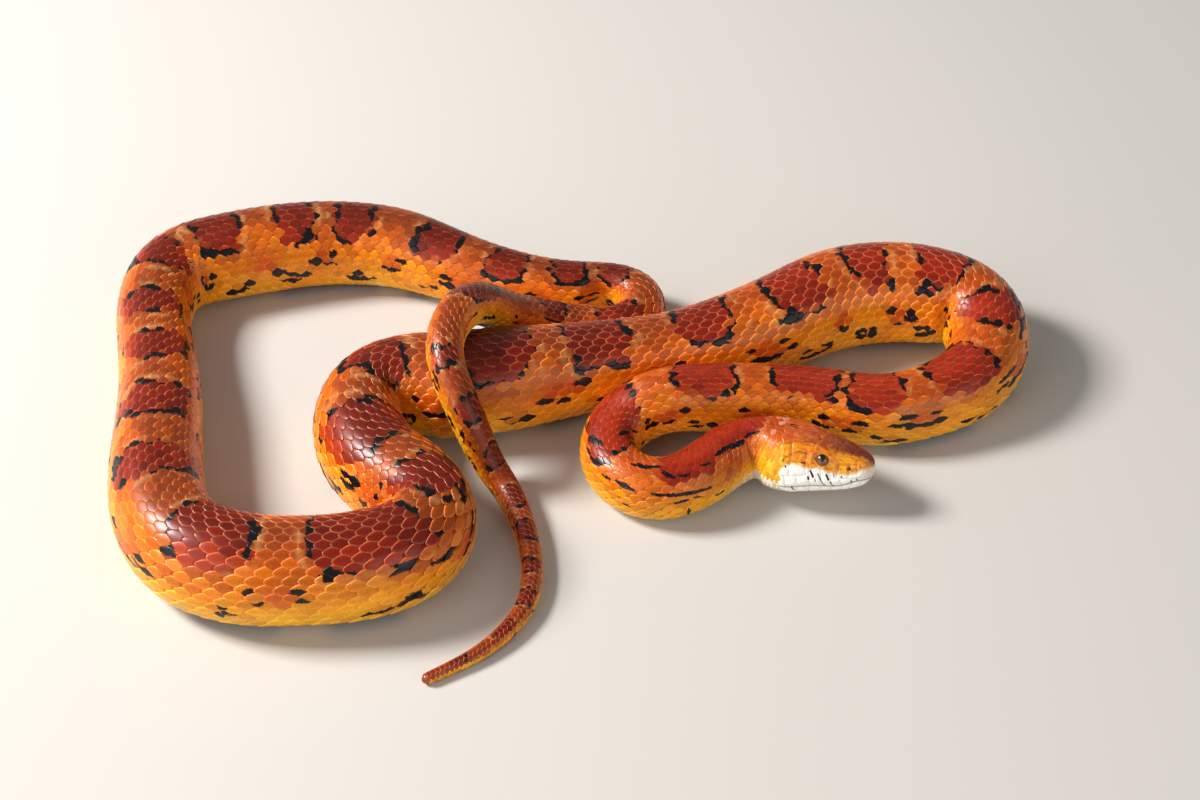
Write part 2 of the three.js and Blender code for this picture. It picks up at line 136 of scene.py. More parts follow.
FLESH_NODES = ("head", "lower_jaw", "neck") + tuple(f"trunk_{i:02d}" for i in range(1, 14)) + tuple(
    f"tail_{i}" for i in range(1, 5))

Stops = tuple[tuple[float, str], ...]
Line = tuple[tuple[float, float], ...]
Values = dict[str, Array]
Pattern = Callable[[Array, Array, Array], Values]
Pair = tuple[float, float]
Trio = tuple[float, float, float]
Row = tuple[float, ...]
Socket = bpy.types.NodeSocket
Thing = bpy.types.Object


class Side(Enum):
    """Side of the animal, by the sign of its places."""

    LEFT = 1
    RIGHT = -1


class Zone(Enum):
    """Part of the head that a line is laid on."""

    CROWN = "crown"
    SIDE = "side"
    CHIN = "chin"


class Draw(Enum):
    """Each use of random numbers, by what it adds to the seed."""

    WOBBLE = 0
    BREAKS = 1
    CLOUDS = 2
    FLANKS = 3
    GAPS = 4
    HEAD_CLOUDS = 5
    HEAD_SPECKLE = 6
    CHECKS = 7
    ROWS = 100

    def start(self, extra: int = 0) -> int:
        """Number that starts the draw."""
        return SEED + self.value + extra


def smoothstep(value: Array | float, low: float, high: float) -> Array:
    """Smooth rise from 0 at low to 1 at high."""
    share = np.clip((np.asarray(value, float) - low) / (high - low), 0, 1)
    return share * share * (3 - 2 * share)


def falling(value: Array | float, low: float, high: float) -> Array:
    """Smooth fall from 1 at low to 0 at high."""
    return 1 - smoothstep(value, low, high)


def hump(value: Array, width: float) -> Array:
    """Soft bump that is 1 at zero and falls away over the width."""
    return np.exp(-(value / width)**2)


def hermite(f: Array | float, low: Array, high: Array, slope_low: Array, slope_high: Array,
            span: float) -> Array:
    """Smooth curve from low to high over a span, with given slopes at both, at f from 0 to 1."""
    return ((2 * f**3 - 3 * f**2 + 1) * low + (f**3 - 2 * f**2 + f) * slope_low * span
            + (3 * f**2 - 2 * f**3) * high + (f**3 - f**2) * slope_high * span)


def averaged(columns: Array, reach: int) -> Array:
    """Moving average down the rows, the ends held by turning the rows about them."""
    before = 2 * columns[0] - columns[reach:0:-1]
    after = 2 * columns[-1] - columns[-2:-reach - 2:-1]
    padded = np.concatenate([before, columns, after])
    total = np.cumsum(np.concatenate([np.zeros_like(padded[:1]), padded]), axis=0)
    window = 2 * reach + 1
    return (total[window:] - total[:-window]) / window


def read_columns(want: Array, places: Array, columns: Array) -> Array:
    """Each column of numbers, given at places, read at the wanted places."""
    return np.stack([np.interp(want, places, column) for column in columns.T], axis=1)


def run_along(points: Array) -> Array:
    """Distance of each point from the first one along a line of points."""
    return np.concatenate([[0], np.cumsum(np.linalg.norm(np.diff(points, axis=0), axis=1))])


def even_points(points: Array) -> tuple[Array, float]:
    """Points about 1 mm apart along a line of points, and their exact step."""
    run = run_along(points)
    count = round(run[-1])
    return read_columns(np.linspace(0, run[-1], count + 1), run, points), run[-1] / count


def unit(vectors: Array) -> Array:
    """Vectors brought to length 1."""
    return vectors / np.maximum(np.linalg.norm(vectors, axis=-1, keepdims=True), 1e-12)


def linear(colour: str) -> tuple[float, float, float, float]:
    """sRGB hex colour as linear red, green, blue and alpha."""
    parts = [int(colour[i:i + 2], 16) / 255 for i in (1, 3, 5)]
    return (*[c / 12.92 if c <= 0.04045 else ((c + 0.055) / 1.055) ** 2.4 for c in parts], 1.0)


def tinted(paint: Array, colour: str, amount: Array) -> Array:
    """Paint drawn towards a colour, by an amount from 0 to 1 at each point."""
    return paint + (np.array(linear(colour)[:3]) - paint) * amount[:, None]


def blended(stops: Stops, place: Array) -> Array:
    """Linear colours at places of a list of stops."""
    spots = [spot for spot, _ in stops]
    return read_columns(place, spots, np.array([linear(colour)[:3] for _, colour in stops]))


class Spine:
    """The middle line of the animal with its radius and axes, about every millimetre."""

    CURVE_STEPS = 12
    # Points on each side that the averages of line, girths and room take in
    LINE_REACH = 4
    GIRTH_REACH = 8
    ROOM_REACH = 3
    # Points on each side whose sections can meet a section in a bend, and the room where none does
    BEND_REACH = 25
    NO_BEND = 1000.0

    def __init__(self) -> None:
        """Builds the line from the route and the girths."""
        first, _ = even_points(self._curve(ROUTE, self.CURVE_STEPS))
        self.points, step = even_points(averaged(averaged(first, self.LINE_REACH), self.LINE_REACH))
        count = len(self.points)
        self.length = step * (count - 1)
        self.at = np.arange(count) * step
        girth = np.interp(self.at, *GIRTH.T)
        self.radius = averaged(averaged(girth, self.GIRTH_REACH), self.GIRTH_REACH)
        self.points[:, 2] += REST * self.radius
        ends = np.concatenate([self.points[:1], self.points, self.points[-1:]])
        self.along = unit(ends[2:] - ends[:-2])
        level = self._level(self.along)
        self.room = {side: self._room(side.value * level) for side in Side}

    @staticmethod
    def _curve(route: Array, steps: int) -> Array:
        """Centripetal curve through the route."""
        points = np.concatenate([[2 * route[0] - route[1]], route, [2 * route[-1] - route[-2]]])
        share = (np.arange(steps) / steps)[:, None]
        out = []
        for i in range(1, len(points) - 2):
            a, b, c, d = points[i - 1:i + 3]
            ab, bc, cd = (np.linalg.norm(q - p) ** 0.5 for p, q in ((a, b), (b, c), (c, d)))
            start = (b - a) / ab - (c - a) / (ab + bc) + (c - b) / bc
            end = (c - b) / bc - (d - b) / (bc + cd) + (d - c) / cd
            out.append(hermite(share, b, c, start, end, bc))
        return np.concatenate([*out, route[-1:]])

    @staticmethod
    def _level(along: Array) -> Array:
        """Level direction to the animal's left."""
        return unit(np.stack([along[:, 1], -along[:, 0], np.zeros(len(along))], axis=1))

    def _room(self, sideways: Array) -> Array:
        """Distance to where the sections near each point cross its own."""
        count = len(self.points)
        room = np.full(count, self.NO_BEND)
        for shift in range(-self.BEND_REACH, self.BEND_REACH + 1):
            if shift == 0:
                continue
            i = np.arange(max(0, -shift), min(count, count - shift))
            k = i + shift
            ahead = ((self.points[k] - self.points[i]) * self.along[k]).sum(1)
            slope = (sideways[i] * self.along[k]).sum(1)
            with np.errstate(divide="ignore", invalid="ignore"):
                reach = np.where(np.abs(slope) > 1e-12, ahead / slope, np.inf)
            room[i] = np.where(reach > 0, np.minimum(room[i], reach), room[i])
        return averaged(room, self.ROOM_REACH)

    def place(self, at: Array) -> tuple[Array, Array, Array]:
        """Middle, left and up at distances from the snout.

        Args:
            at: Distances in millimetres.

        Returns:
            Middle points, left axes and up axes, one row each.
        """
        middle = read_columns(at, self.at, self.points)
        along = unit(read_columns(at, self.at, self.along))
        middle = middle + along * np.minimum(at, 0)[:, None]
        level = self._level(along)
        upright = np.cross(level, along)
        lean = (HEAD_TIP * falling(at, HEAD_LENGTH, HEAD_TIP_END))[:, None]
        left = level * np.cos(lean) - upright * np.sin(lean)
        up = upright * np.cos(lean) + level * np.sin(lean)
        return middle, left, up


def head_size(at: float) -> Trio:
    """Half width, crown and chin of the head, smooth between the measured sections."""
    row = min(max(int(np.searchsorted(HEAD[:, 0], at, side="right")) - 1, 0), len(HEAD) - 2)
    low, high = HEAD[row], HEAD[row + 1]
    span = high[0] - low[0]
    f = min(max((at - low[0]) / span, 0), 1)
    before = HEAD[max(row - 1, 0)]
    after = HEAD[min(row + 2, len(HEAD) - 1)]
    slope_low = (high[1:] - before[1:]) / (high[0] - before[0])
    slope_high = (after[1:] - low[1:]) / (after[0] - low[0])
    return tuple(hermite(f, low[1:], high[1:], slope_low, slope_high, span).tolist())


class Hide:
    """The outer surface of the whole animal, by distance from the snout and share of girth."""

    # Steps of each half of a section, and points of its outline while it is worked out
    SHARES = 96
    EVEN_POINTS = 200
    CURVE_POINTS = 300
    # Where the sections of the head change into those of the body
    HEAD_TO_BODY = (33, 38.5)
    # Body section: powers of its roundness above and below, its half width and height of the
    # back in radii, how much lower the back is behind the head, and how flat the belly is
    ROUND_ABOVE = 2 / 2.1
    ROUND_BELOW = 2 / 2.5
    HALF_WIDTH = 0.97
    BACK = 1.04
    LOWER_BY_HEAD = 0.12
    BELLY_CUT = 0.985
    # Share of the room inside a bend that the body may fill
    BEND_SHARE = 0.84
    # Length over which the end of the tail is rounded off
    TIP = 2.3
    # Steps along and round the body over which directions and stretch are measured
    STEP = 0.6
    TURN = 0.012

    def __init__(self, spine: Spine) -> None:
        """Makes the table of sections that every other part reads."""
        self.spine = spine
        fine = np.concatenate([[0, 0.04, 0.1, 0.18], np.arange(0.3, 40, 0.25)])
        self.at = np.concatenate([fine, np.arange(40, spine.length, 1.0), [spine.length]])
        self.table = np.stack([self._section(at) for at in self.at])

    def _section(self, at: float) -> Array:
        """Side and height at even shares of the girth, right to left through the back."""
        blend = float(smoothstep(at, *self.HEAD_TO_BODY))
        halves = []
        for side in Side:
            outline = np.zeros((self.EVEN_POINTS, 2))
            if blend < 1:
                outline += (1 - blend) * self._even(self._head_half(at))
            if blend > 0:
                outline += blend * self._even(self._body_half(at, side))
            outline[:, 0] *= side.value
            places = np.linspace(0, self.EVEN_POINTS - 1, self.SHARES + 1)
            halves.append(read_columns(places, np.arange(self.EVEN_POINTS), outline))
        return np.concatenate([halves[1][:0:-1], halves[0]])

    def _even(self, outline: Array) -> Array:
        """The outline with its points evenly spread."""
        run = run_along(outline)
        return read_columns(np.linspace(0, run[-1], self.EVEN_POINTS), run, outline)

    def _head_half(self, at: float) -> Array:
        """Left half of a head section, from crown to chin."""
        half, crown, chin = head_size(at)
        mirror = np.array([-1, 1])
        ends = np.concatenate([HEAD_OUTLINE[1:2] * mirror, HEAD_OUTLINE, HEAD_OUTLINE[-2:-1] * mirror])
        place = np.linspace(0, len(HEAD_OUTLINE) - 1, self.CURVE_POINTS)
        i = np.minimum(place.astype(int), len(HEAD_OUTLINE) - 2)
        f = (place - i)[:, None]
        a, b, c, d = (ends[i + k] for k in range(4))
        square = 2 * a - 5 * b + 4 * c - d
        cube = 3 * b - a - 3 * c + d
        across, up = (0.5 * (2 * b + (c - a) * f + square * f**2 + cube * f**3)).T
        return np.stack([across * half, up * np.where(up > 0, crown, chin)], axis=1)

    def _body_half(self, at: float, side: Side) -> Array:
        """One half of a body section, from back to belly."""
        radius = np.interp(at, self.spine.at, self.spine.radius)
        room = np.interp(at, self.spine.at, self.spine.room[side])
        turn = np.linspace(0, math.pi, self.CURVE_POINTS)
        cosine, sine = np.cos(turn), np.sin(turn)
        roundness = np.where(cosine > 0, self.ROUND_ABOVE, self.ROUND_BELOW)
        half = min(self.HALF_WIDTH * radius, self.BEND_SHARE * room)
        by_head = 1 - float(smoothstep(at, HEAD_LENGTH, HEAD_TIP_END))
        rise = np.where(cosine > 0, self.BACK - self.LOWER_BY_HEAD * by_head, REST)
        height = radius * rise * np.sign(cosine) * np.abs(cosine) ** roundness
        height = np.maximum(height, -REST * radius * self.BELLY_CUT)
        return np.stack([half * np.abs(sine) ** roundness, height], axis=1)

    def local(self, at: Array, share: Array) -> Array:
        """Side and height on the surface."""
        at = np.clip(at, self.at[0], self.at[-1])
        i = np.clip(np.searchsorted(self.at, at, side="right") - 1, 0, len(self.at) - 2)
        f = ((at - self.at[i]) / (self.at[i + 1] - self.at[i]))[:, None]
        place = (np.clip(share, -1, 1) + 1) * self.SHARES
        j = np.clip(place.astype(int), 0, 2 * self.SHARES - 1)
        g = (place - j)[:, None]
        near, far = (self.table[k, j] * (1 - g) + self.table[k, j + 1] * g for k in (i, i + 1))
        return near * (1 - f) + far * f

    def points(self, at: Array, share: Array) -> Array:
        """Places on the surface, none of them under the floor."""
        inside = (share + 1) % 2 - 1
        local = self.local(at, inside)
        beyond = np.clip((at - self.spine.length + self.TIP) / self.TIP, 0, 1)
        local = local * np.sqrt(np.maximum(1 - beyond**2, 0.01))[:, None]
        middle, left, up = self.spine.place(at)
        place = middle + left * local[:, :1] + up * local[:, 1:]
        place[:, 2] = np.maximum(place[:, 2], 0)
        return place

    def patch(self, at: Array, share: Array) -> tuple[Array, Array, Array]:
        """Place, outward direction and stretch at points of the surface.

        Args:
            at: Distances from the snout.
            share: Shares of the girth.

        Returns:
            Places, outward unit vectors, and millimetres of surface for a millimetre along the
            middle line.
        """
        behind = np.minimum(at + self.STEP, self.spine.length)
        before = np.maximum(at - self.STEP, 0)
        along = (self.points(behind, share) - self.points(before, share)) / (behind - before)[:, None]
        across = self.points(at, share + self.TURN) - self.points(at, share - self.TURN)
        outward = unit(np.cross(across / (2 * self.TURN), along))
        return self.points(at, share), outward, np.linalg.norm(along, axis=1)


@dataclass(frozen=True)
class Saddle:
    """One blotch across the back: where it starts and ends, and how far down it reaches."""

    start: float
    end: float
    reach: float

    @property
    def middle(self) -> float:
        """Distance of its middle."""
        return (self.start + self.end) / 2

    @property
    def half(self) -> float:
        """Half its length."""
        return (self.end - self.start) / 2


@dataclass(frozen=True)
class FlankBlotch:
    """One small blotch on a flank: its middle, half length, half depth, side and strength."""

    at: float
    level: float
    half: float
    depth: float
    side: Side
    strength: float


@dataclass(frozen=True)
class Spots:
    """Points of the surface with the scale that each one is on.

    The scale's distance from the snout and share of the girth come first, then the point's own,
    then a random number from 0 to 1 of the scale.
    """

    plate_at: Array
    plate_share: Array
    at: Array
    share: Array
    chance: Array


class Lattice:
    """Smooth random numbers over the surface, the same in every run."""

    ROWS = 256
    COLUMNS = 64

    def __init__(self, draw: Draw, along: float, across: float) -> None:
        """Draws the numbers.

        Args:
            draw: What the numbers are for.
            along: Length of a cell in millimetres.
            across: Width of a cell as a share of the half girth.
        """
        self.table = np.random.default_rng(draw.start()).uniform(0, 1, (self.ROWS, self.COLUMNS))
        self.along = along
        self.across = across

    def read(self, at: Array, share: Array) -> Array:
        """Random number at each point, smooth between the cells."""
        x, y = at / self.along + 7, (share + 2) / self.across
        i, j = np.floor(x).astype(int), np.floor(y).astype(int)
        f, g = smoothstep(x - i, 0, 1), smoothstep(y - j, 0, 1)
        left, right = j % self.COLUMNS, (j + 1) % self.COLUMNS
        near, far = (self.table[k, left] * (1 - g) + self.table[k, right] * g
                     for k in (i % self.ROWS, (i + 1) % self.ROWS))
        return near * (1 - f) + far * f


@dataclass(frozen=True)
class Palette:
    """Colours of the coat from the back down: place on the half girth and colour.

    The front of the body is brighter and redder than the rest, partly its own colour and partly painted
    light, as the front lies in brighter light.
    """

    ground: Stops = (
        (0.0, "#883610"), (0.1, "#963C0C"), (0.2, "#B64C06"), (0.3, "#D86804"), (0.42, "#F28A04"),
        (0.58, "#FDA808"), (0.74, "#FDBC20"), (0.86, "#F3D9A0"), (1.0, "#F3E7CC"),
    )
    # Brighter colours of the front: partly its own colour, partly painted light
    front_ground_and_light: Stops = (
        (0.0, "#B8480C"), (0.1, "#BC4C0A"), (0.2, "#CA5C0A"), (0.3, "#DE6E06"), (0.42, "#F28C06"),
        (0.58, "#FDAA0A"), (0.74, "#FDC224"), (0.86, "#F3DDA4"), (1.0, "#F3E7CC"),
    )
    saddle: Stops = (
        (0.0, "#681606"), (0.1, "#701604"), (0.2, "#861C04"), (0.3, "#A83006"), (0.4, "#CC4606"),
    )
    front_saddle_and_light: Stops = (
        (0.0, "#A62C0C"), (0.1, "#9A240A"), (0.2, "#8E1E08"), (0.3, "#AE3008"), (0.4, "#CE4A08"),
    )
    flank_blotch: str = "#D4500F"
    border: str = "#EFB26A"
    # Darker back of the tail: partly its own colour, partly painted shade
    tail: str = "#8E2E0C"
    cream: str = "#F3EAD2"
    nape: str = "#C64E16"
    nape_fleck: str = "#EAB09A"
    cheek_scales: str = "#F2A01C"
    cheek_fleck: str = "#F9CC30"
    # Rusty sides of the neck: partly mottling, partly painted shade
    neck_side_and_shade: str = "#B23E0C"
    throat: str = "#F4ECDC"
    between_scales: str = "#E9A055"
    tail_end: str = "#7C2A10"


@dataclass(frozen=True)
class HeadPalette:
    """Colours of the head; those of crown and cheek by distance from the snout."""

    crown: Stops = (
        (0, "#7E4A3A"), (2.5, "#6A2C1A"), (8, "#742F14"), (12, "#8C3A12"), (17, "#AE4A10"),
        (24, "#CC5A0E"), (31, "#CC5214"), (36, "#A63A14"),
    )
    cheek: Stops = (
        (0, "#D9A060"), (2.5, "#EE8E0C"), (8, "#F09C14"), (12, "#EE8E0C"), (18, "#E67A08"),
        (23, "#EC8A0A"), (27, "#F4B41A"), (32, "#F1A81C"), (36, "#EC931C"),
    )
    rust: str = "#C2480C"
    umber: str = "#5A2414"
    crown_dust: str = "#D88E6A"
    cheek_dust: str = "#F8C040"
    straw: str = "#F3CE7A"
    white: str = "#FFFBF2"
    snout: str = "#D8B48C"
    line: str = "#4A1C0E"
    nostril: str = "#8E3A22"


class Rows:
    """The lengthwise rows of scales: where each starts, ends, and lies on the girth."""

    # Rows on each side, 0 along the back, and the share of the girth that they cover
    SIDE = 13
    DORSAL_SHARE = 0.745
    # Where each row runs; a row that isn't named runs from the head to the end of the tail
    SPANS = {6: (230, 930), 9: (20, 650), 8: (20, 740), 7: (20, 835), 10: (20, 1000), 5: (20, 1018),
             11: (20, 1040), 4: (20, 1062), 3: (20, 1090), 12: (20, 1118), 2: (20, 1142)}
    WHOLE = (20, 2000)
    FADE = 14.0
    WIDTHS = {0: 1.06, 12: 1.15, 13: 1.32}
    # Distance from the snout and distance there between neighbouring scales of one row
    PITCH = np.array([
        (0, 1.75), (30, 1.75), (45, 2.2), (70, 3.1), (115, 3.9), (200, 4.3), (300, 4.65), (640, 4.65),
        (800, 4.2), (980, 3.4), (1050, 2.7), (1110, 2.0), (1160, 1.5),
    ])
    STEP = 0.5

    def __init__(self, length: float) -> None:
        """Lays out every row over the whole length."""
        self.at = np.arange(0, length + self.STEP, self.STEP)
        self.count = np.concatenate([[0], np.cumsum(self.STEP / self.pitch_at(self.at)[:-1])])
        numbers = range(self.SIDE + 1)
        self.weight = np.stack([self._weight(row) for row in numbers])
        width = np.array([self.WIDTHS.get(row, 1.0) for row in numbers])[:, None] * self.weight
        width[0] /= 2
        self.width = width / np.maximum(width.sum(0), 1e-9) * self.DORSAL_SHARE
        self.middle = np.cumsum(self.width, axis=0) - self.width / 2
        self.middle[0] = 0
        self.width[0] *= 2
        self.phase = 0.5 * np.cumsum(self.weight, axis=0)

    def _weight(self, row: int) -> Array:
        """How far a row is there: 1 over its span, fading at the ends."""
        start, end = self.SPANS.get(row, self.WHOLE)
        started = smoothstep(self.at, start - self.FADE, start)
        return started * falling(self.at, end, end + self.FADE)

    @classmethod
    def pitch_at(cls, at: Array | float) -> Array:
        """Distance between neighbouring scales of one row."""
        return np.interp(at, *cls.PITCH.T)

    def places(self, row: int, first: float, last: float) -> tuple[Array, Array, Array, Array]:
        """Scales of one row.

        Args:
            row: Row number, 0 on the back and rising down each side; negative on the right.
            first: Distance from the snout where the coat starts on this row.
            last: Distance where it ends.

        Returns:
            Distances, shares of the girth, widths as shares, and numbers along the row.
        """
        level = abs(row)
        run = self.count - self.phase[level]
        numbers = np.arange(math.ceil(run[0]), math.floor(run[-1]))
        at = np.interp(numbers, run, self.at)
        there = np.interp(at, self.at, self.weight[level]) > 0.5
        keep = there & (at >= first) & (at <= last)
        at = at[keep]
        share = np.interp(at, self.at, self.middle[level]) * (1 if row >= 0 else -1)
        return at, share, np.interp(at, self.at, self.width[level]), numbers[keep]


class Markings:
    """The pattern of the animal, read by the skin and by the scales alike."""

    SADDLES = tuple(Saddle(*sizes) for sizes in (
        (36, 74, 0.26), (88, 118, 0.28), (128, 147, 0.28), (160, 182, 0.24), (186, 202, 0.28),
        (212, 232, 0.28), (243, 258, 0.28), (270, 285, 0.27), (296, 309, 0.28), (320, 338, 0.30),
        (352, 371, 0.27), (388, 408, 0.30), (420, 443, 0.30), (459, 474, 0.28), (487, 508, 0.36),
        (520, 535, 0.30), (545, 574, 0.32), (591, 613, 0.30), (635, 649, 0.31), (664, 679, 0.28),
        (692, 706, 0.28), (717, 729, 0.28), (742, 754, 0.28), (761, 776, 0.27), (789, 801, 0.27),
        (809, 822, 0.27), (839, 853, 0.27), (865, 877, 0.27), (886, 896, 0.26), (903, 911, 0.25),
        (928, 941, 0.27), (956, 967, 0.27), (989, 1006, 0.30), (1026, 1032, 0.28), (1041, 1048, 0.28),
        (1057, 1066, 0.28), (1076, 1085, 0.28), (1091, 1099, 0.28), (1107, 1112, 0.30),
        (1119, 1125, 0.30), (1132, 1140, 0.30), (1150, 1156, 0.30),
    ))
    # Share of the half girth that one row takes, roundness of a saddle's corners in scales, and
    # how much shorter a saddle is at its sides in millimetres
    ROW_SHARE = 0.057
    CORNER = 0.7
    TAPER = 2.4
    # Where the brighter front colours, partly painted light, give way to the rest
    FRONT_COAT_AND_LIGHT = (250, 420)
    # Where the back of the tail darkens, partly as painted shade
    TAIL_DARK_AND_SHADE = (990, 1060)
    # Where flecks lie by a small blotch, in half lengths and half depths, and how many are left out
    FLECK_PLACES = ((-1, -0.5), (1, -0.4), (-0.5, 1), (0.8, 0.9), (0.1, 1.2), (-1.2, 0.4))
    NO_FLECK = 0.3
    # Black streaks of the neck: two ends by distance and share, and half width in millimetres
    NECK_STREAKS = (
        (75, -0.33, 62, -0.43, 0.5), (71, -0.45, 68, -0.46, 0.45), (67, -0.45, 64, -0.49, 0.25),
        (61, -0.58, 58, -0.57, 0.3), (81.5, -0.05, 73, -0.03, 0.6), (73, -0.09, 70, -0.19, 0.55),
        (69, -0.18, 66, -0.21, 0.35), (62, -0.18, 59, -0.21, 0.35), (56, -0.18, 49, -0.21, 0.65),
        (50, -0.23, 44, -0.25, 0.75), (43, -0.22, 36.6, -0.19, 0.55), (98, -0.22, 94, -0.12, 0.95),
        (104, -0.36, 101, -0.27, 0.5), (92, -0.3, 90, -0.28, 0.5), (87, -0.32, 84, -0.3, 0.4),
        (83, -0.29, 79, -0.32, 0.6), (81, -0.52, 79, -0.53, 0.3), (68, -0.57, 68, -0.7, 0.3),
    )
    # Half girth of the neck, and how much further back the streaks of the left side lie
    NECK_GIRTH = 30.0
    LEFT_SHIFT = 3.0
    # Streaks above this share run over the middle of the back and aren't repeated
    OVER_BACK = -0.2

    def __init__(self) -> None:
        """Draws the wobble of the edges, the small blotches of the flanks and their black flecks."""
        self.palette = Palette()
        self.wobble = Lattice(Draw.WOBBLE, 5.5, 0.09)
        self.breaks = Lattice(Draw.BREAKS, 7.0, 0.11)
        self.gaps = Lattice(Draw.GAPS, 4.0, 0.07)
        self.clouds = Lattice(Draw.CLOUDS, 14.0, 0.2)
        draw = np.random.default_rng(Draw.FLANKS.start())
        self.flank: list[FlankBlotch] = []
        for saddle, after in zip(self.SADDLES[1:], self.SADDLES[2:]):
            span = min(saddle.half, 10)
            for side in (Side.RIGHT, Side.LEFT):
                for middle, spread, levels, length, depth, strength in (
                    ((saddle.end + after.start) / 2, 2, (0.4, 0.44), 0.6, 0.065, 0.8),
                    (saddle.middle, 4, (0.55, 0.59), 0.38, 0.04, 0.35),
                ):
                    at = middle + draw.uniform(-spread, spread)
                    level = draw.uniform(*levels)
                    self.flank.append(FlankBlotch(at, level, length * span, depth, side, strength))
        self.flecks = [fleck for blotch in self.flank for fleck in self._flecks(blotch, draw)]

    def _flecks(self, blotch: FlankBlotch, draw: np.random.Generator) -> list[Row]:
        """Black flecks round a small blotch: distance, share, half length and half depth of each."""
        out = []
        pitch = float(Rows.pitch_at(blotch.at))
        for end, level in self.FLECK_PLACES:
            if draw.uniform() < self.NO_FLECK:
                continue
            at = blotch.at + end * blotch.half + draw.uniform(-1, 1)
            down = blotch.level + level * blotch.depth + draw.uniform(-0.01, 0.01)
            long = pitch * draw.uniform(0.3, 0.85)
            out.append((at, blotch.side.value * down, long, 0.06 * draw.uniform(0.25, 0.5)))
        return out

    def _saddle_edge(self, at: Array, share: Array) -> tuple[Array, Array]:
        """Distance outside the nearest saddle in scales, and nearness of its corners."""
        pitch = Rows.pitch_at(at)
        best, corner = np.full(len(at), 9.0), np.zeros(len(at))
        for saddle in self.SADDLES:
            away = np.abs(at - saddle.middle)
            near = np.flatnonzero(away < saddle.half + 20)
            down = np.abs(share[near])
            taper = smoothstep(down, 0.4 * saddle.reach, saddle.reach) * min(self.TAPER, 0.3 * saddle.half)
            end = (away[near] - saddle.half + taper) / pitch[near] + self.CORNER
            side = (down - saddle.reach) / self.ROW_SHARE + self.CORNER
            outside = np.hypot(np.maximum(end, 0), np.maximum(side, 0)) - self.CORNER
            edge = np.minimum(np.maximum(end, side), 0) + outside
            better = edge < best[near]
            near, end, side = near[better], end[better], side[better]
            best[near] = edge[better]
            corner[near] = np.exp(-((end - self.CORNER)**2 + (side - 0.5)**2) / 1.5)
        return best, corner

    def _coat(self, spots: Spots, outside: Array) -> Array:
        """Ground colour and saddles, by each scale's distance outside the nearest saddle."""
        palette = self.palette
        down = 0.65 * np.abs(spots.plate_share) + 0.35 * np.abs(spots.share)
        cloud = (self.clouds.read(spots.plate_at, spots.plate_share) - 0.5) * 0.16
        cloud = cloud + (spots.chance - 0.5) * 0.1
        # The front is drawn brighter and redder, partly as painted light
        front = falling(spots.plate_at, *self.FRONT_COAT_AND_LIGHT)[:, None]
        place = down + cloud * smoothstep(0.8 - down, 0, 0.1)
        ground, red = (blended(rest, spot) * (1 - front) + blended(first, spot) * front
                       for rest, first, spot in ((palette.ground, palette.front_ground_and_light, place),
                                                 (palette.saddle, palette.front_saddle_and_light, down + cloud)))
        # The back of the tail is darkened, partly as painted shade
        tail = 0.7 * smoothstep(spots.plate_at, *self.TAIL_DARK_AND_SHADE) * falling(down, 0.3, 0.5)
        ground = tinted(ground, palette.tail, tail)
        return ground + (red - ground) * smoothstep(-outside, -0.25, 0.25)[:, None]

    def _add_flank_blotches(self, paint: Array, spots: Spots, wobble: Array) -> None:
        """Paints the small blotches of the flanks over the coat."""
        down = np.abs(spots.plate_share)
        sides = np.sign(spots.plate_share)
        for blotch in self.flank:
            away = spots.plate_at - blotch.at
            near = np.flatnonzero((np.abs(away) < 2 * blotch.half + 4) & (sides == blotch.side.value))
            value = np.hypot(away[near] / blotch.half, (down[near] - blotch.level) / blotch.depth)
            amount = blotch.strength * falling(value + 0.35 * wobble[near], 0.8, 1.2)
            paint[near] = tinted(paint[near], self.palette.flank_blotch, amount)

    def _tint_neck(self, paint: Array, at: Array, down: Array, chance: Array) -> Array:
        """Rusty nape with pale flecks, golden scales behind the cheeks, rusty sides that are partly painted
        shade, white throat.
        """
        palette = self.palette
        behind = falling(at, 29, 37)
        low = smoothstep(down, 0.24, 0.34)
        side = smoothstep(down, 0.2, 0.26) * falling(down, 0.44, 0.58)
        side = side * smoothstep(at, 33, 39) * falling(at, 54, 68)
        pale = (chance < 0.32) * smoothstep(at, 29, 30.5)
        golden = smoothstep(down, 0.34, 0.44) * (chance > 0.45)
        white = falling(at, 36, 62) * smoothstep(down, 0.58, 0.66)
        for colour, amount in (
            (palette.nape, 0.8 * behind * (1 - low)),
            (palette.nape_fleck, 0.75 * behind * (1 - low) * pale),
            (palette.cheek_scales, 0.7 * behind * low),
            (palette.cheek_fleck, 0.7 * behind * golden),
            # Rusty, mottled sides of the neck, partly painted shade
            (palette.neck_side_and_shade, (0.35 + 0.6 * chance) * side),
            (palette.throat, 0.95 * white),
        ):
            paint = tinted(paint, colour, amount)
        return paint

    def _neck_ink(self, at: Array, share: Array) -> Array:
        """Black of the long streaks along the neck, which were measured on the right side."""
        ink = np.zeros(len(at))
        places = np.stack([at, share * self.NECK_GIRTH], axis=1)
        for start, start_share, end, end_share, half in self.NECK_STREAKS:
            for mirror, shift in ((1, 0.0), (-1, self.LEFT_SHIFT)):
                if mirror < 0 and start_share > self.OVER_BACK:
                    continue
                first = np.array([start + shift, mirror * start_share * self.NECK_GIRTH])
                line = np.array([end + shift, mirror * end_share * self.NECK_GIRTH]) - first
                away = places - first
                along = np.clip(away @ line / (line @ line), 0, 1)
                apart = np.linalg.norm(away - along[:, None] * line, axis=1)
                wide = half * (1.35 - 0.55 * np.abs(2 * along - 1))
                ink = np.maximum(ink, smoothstep(wide - apart, -0.25, 0.25))
        return ink

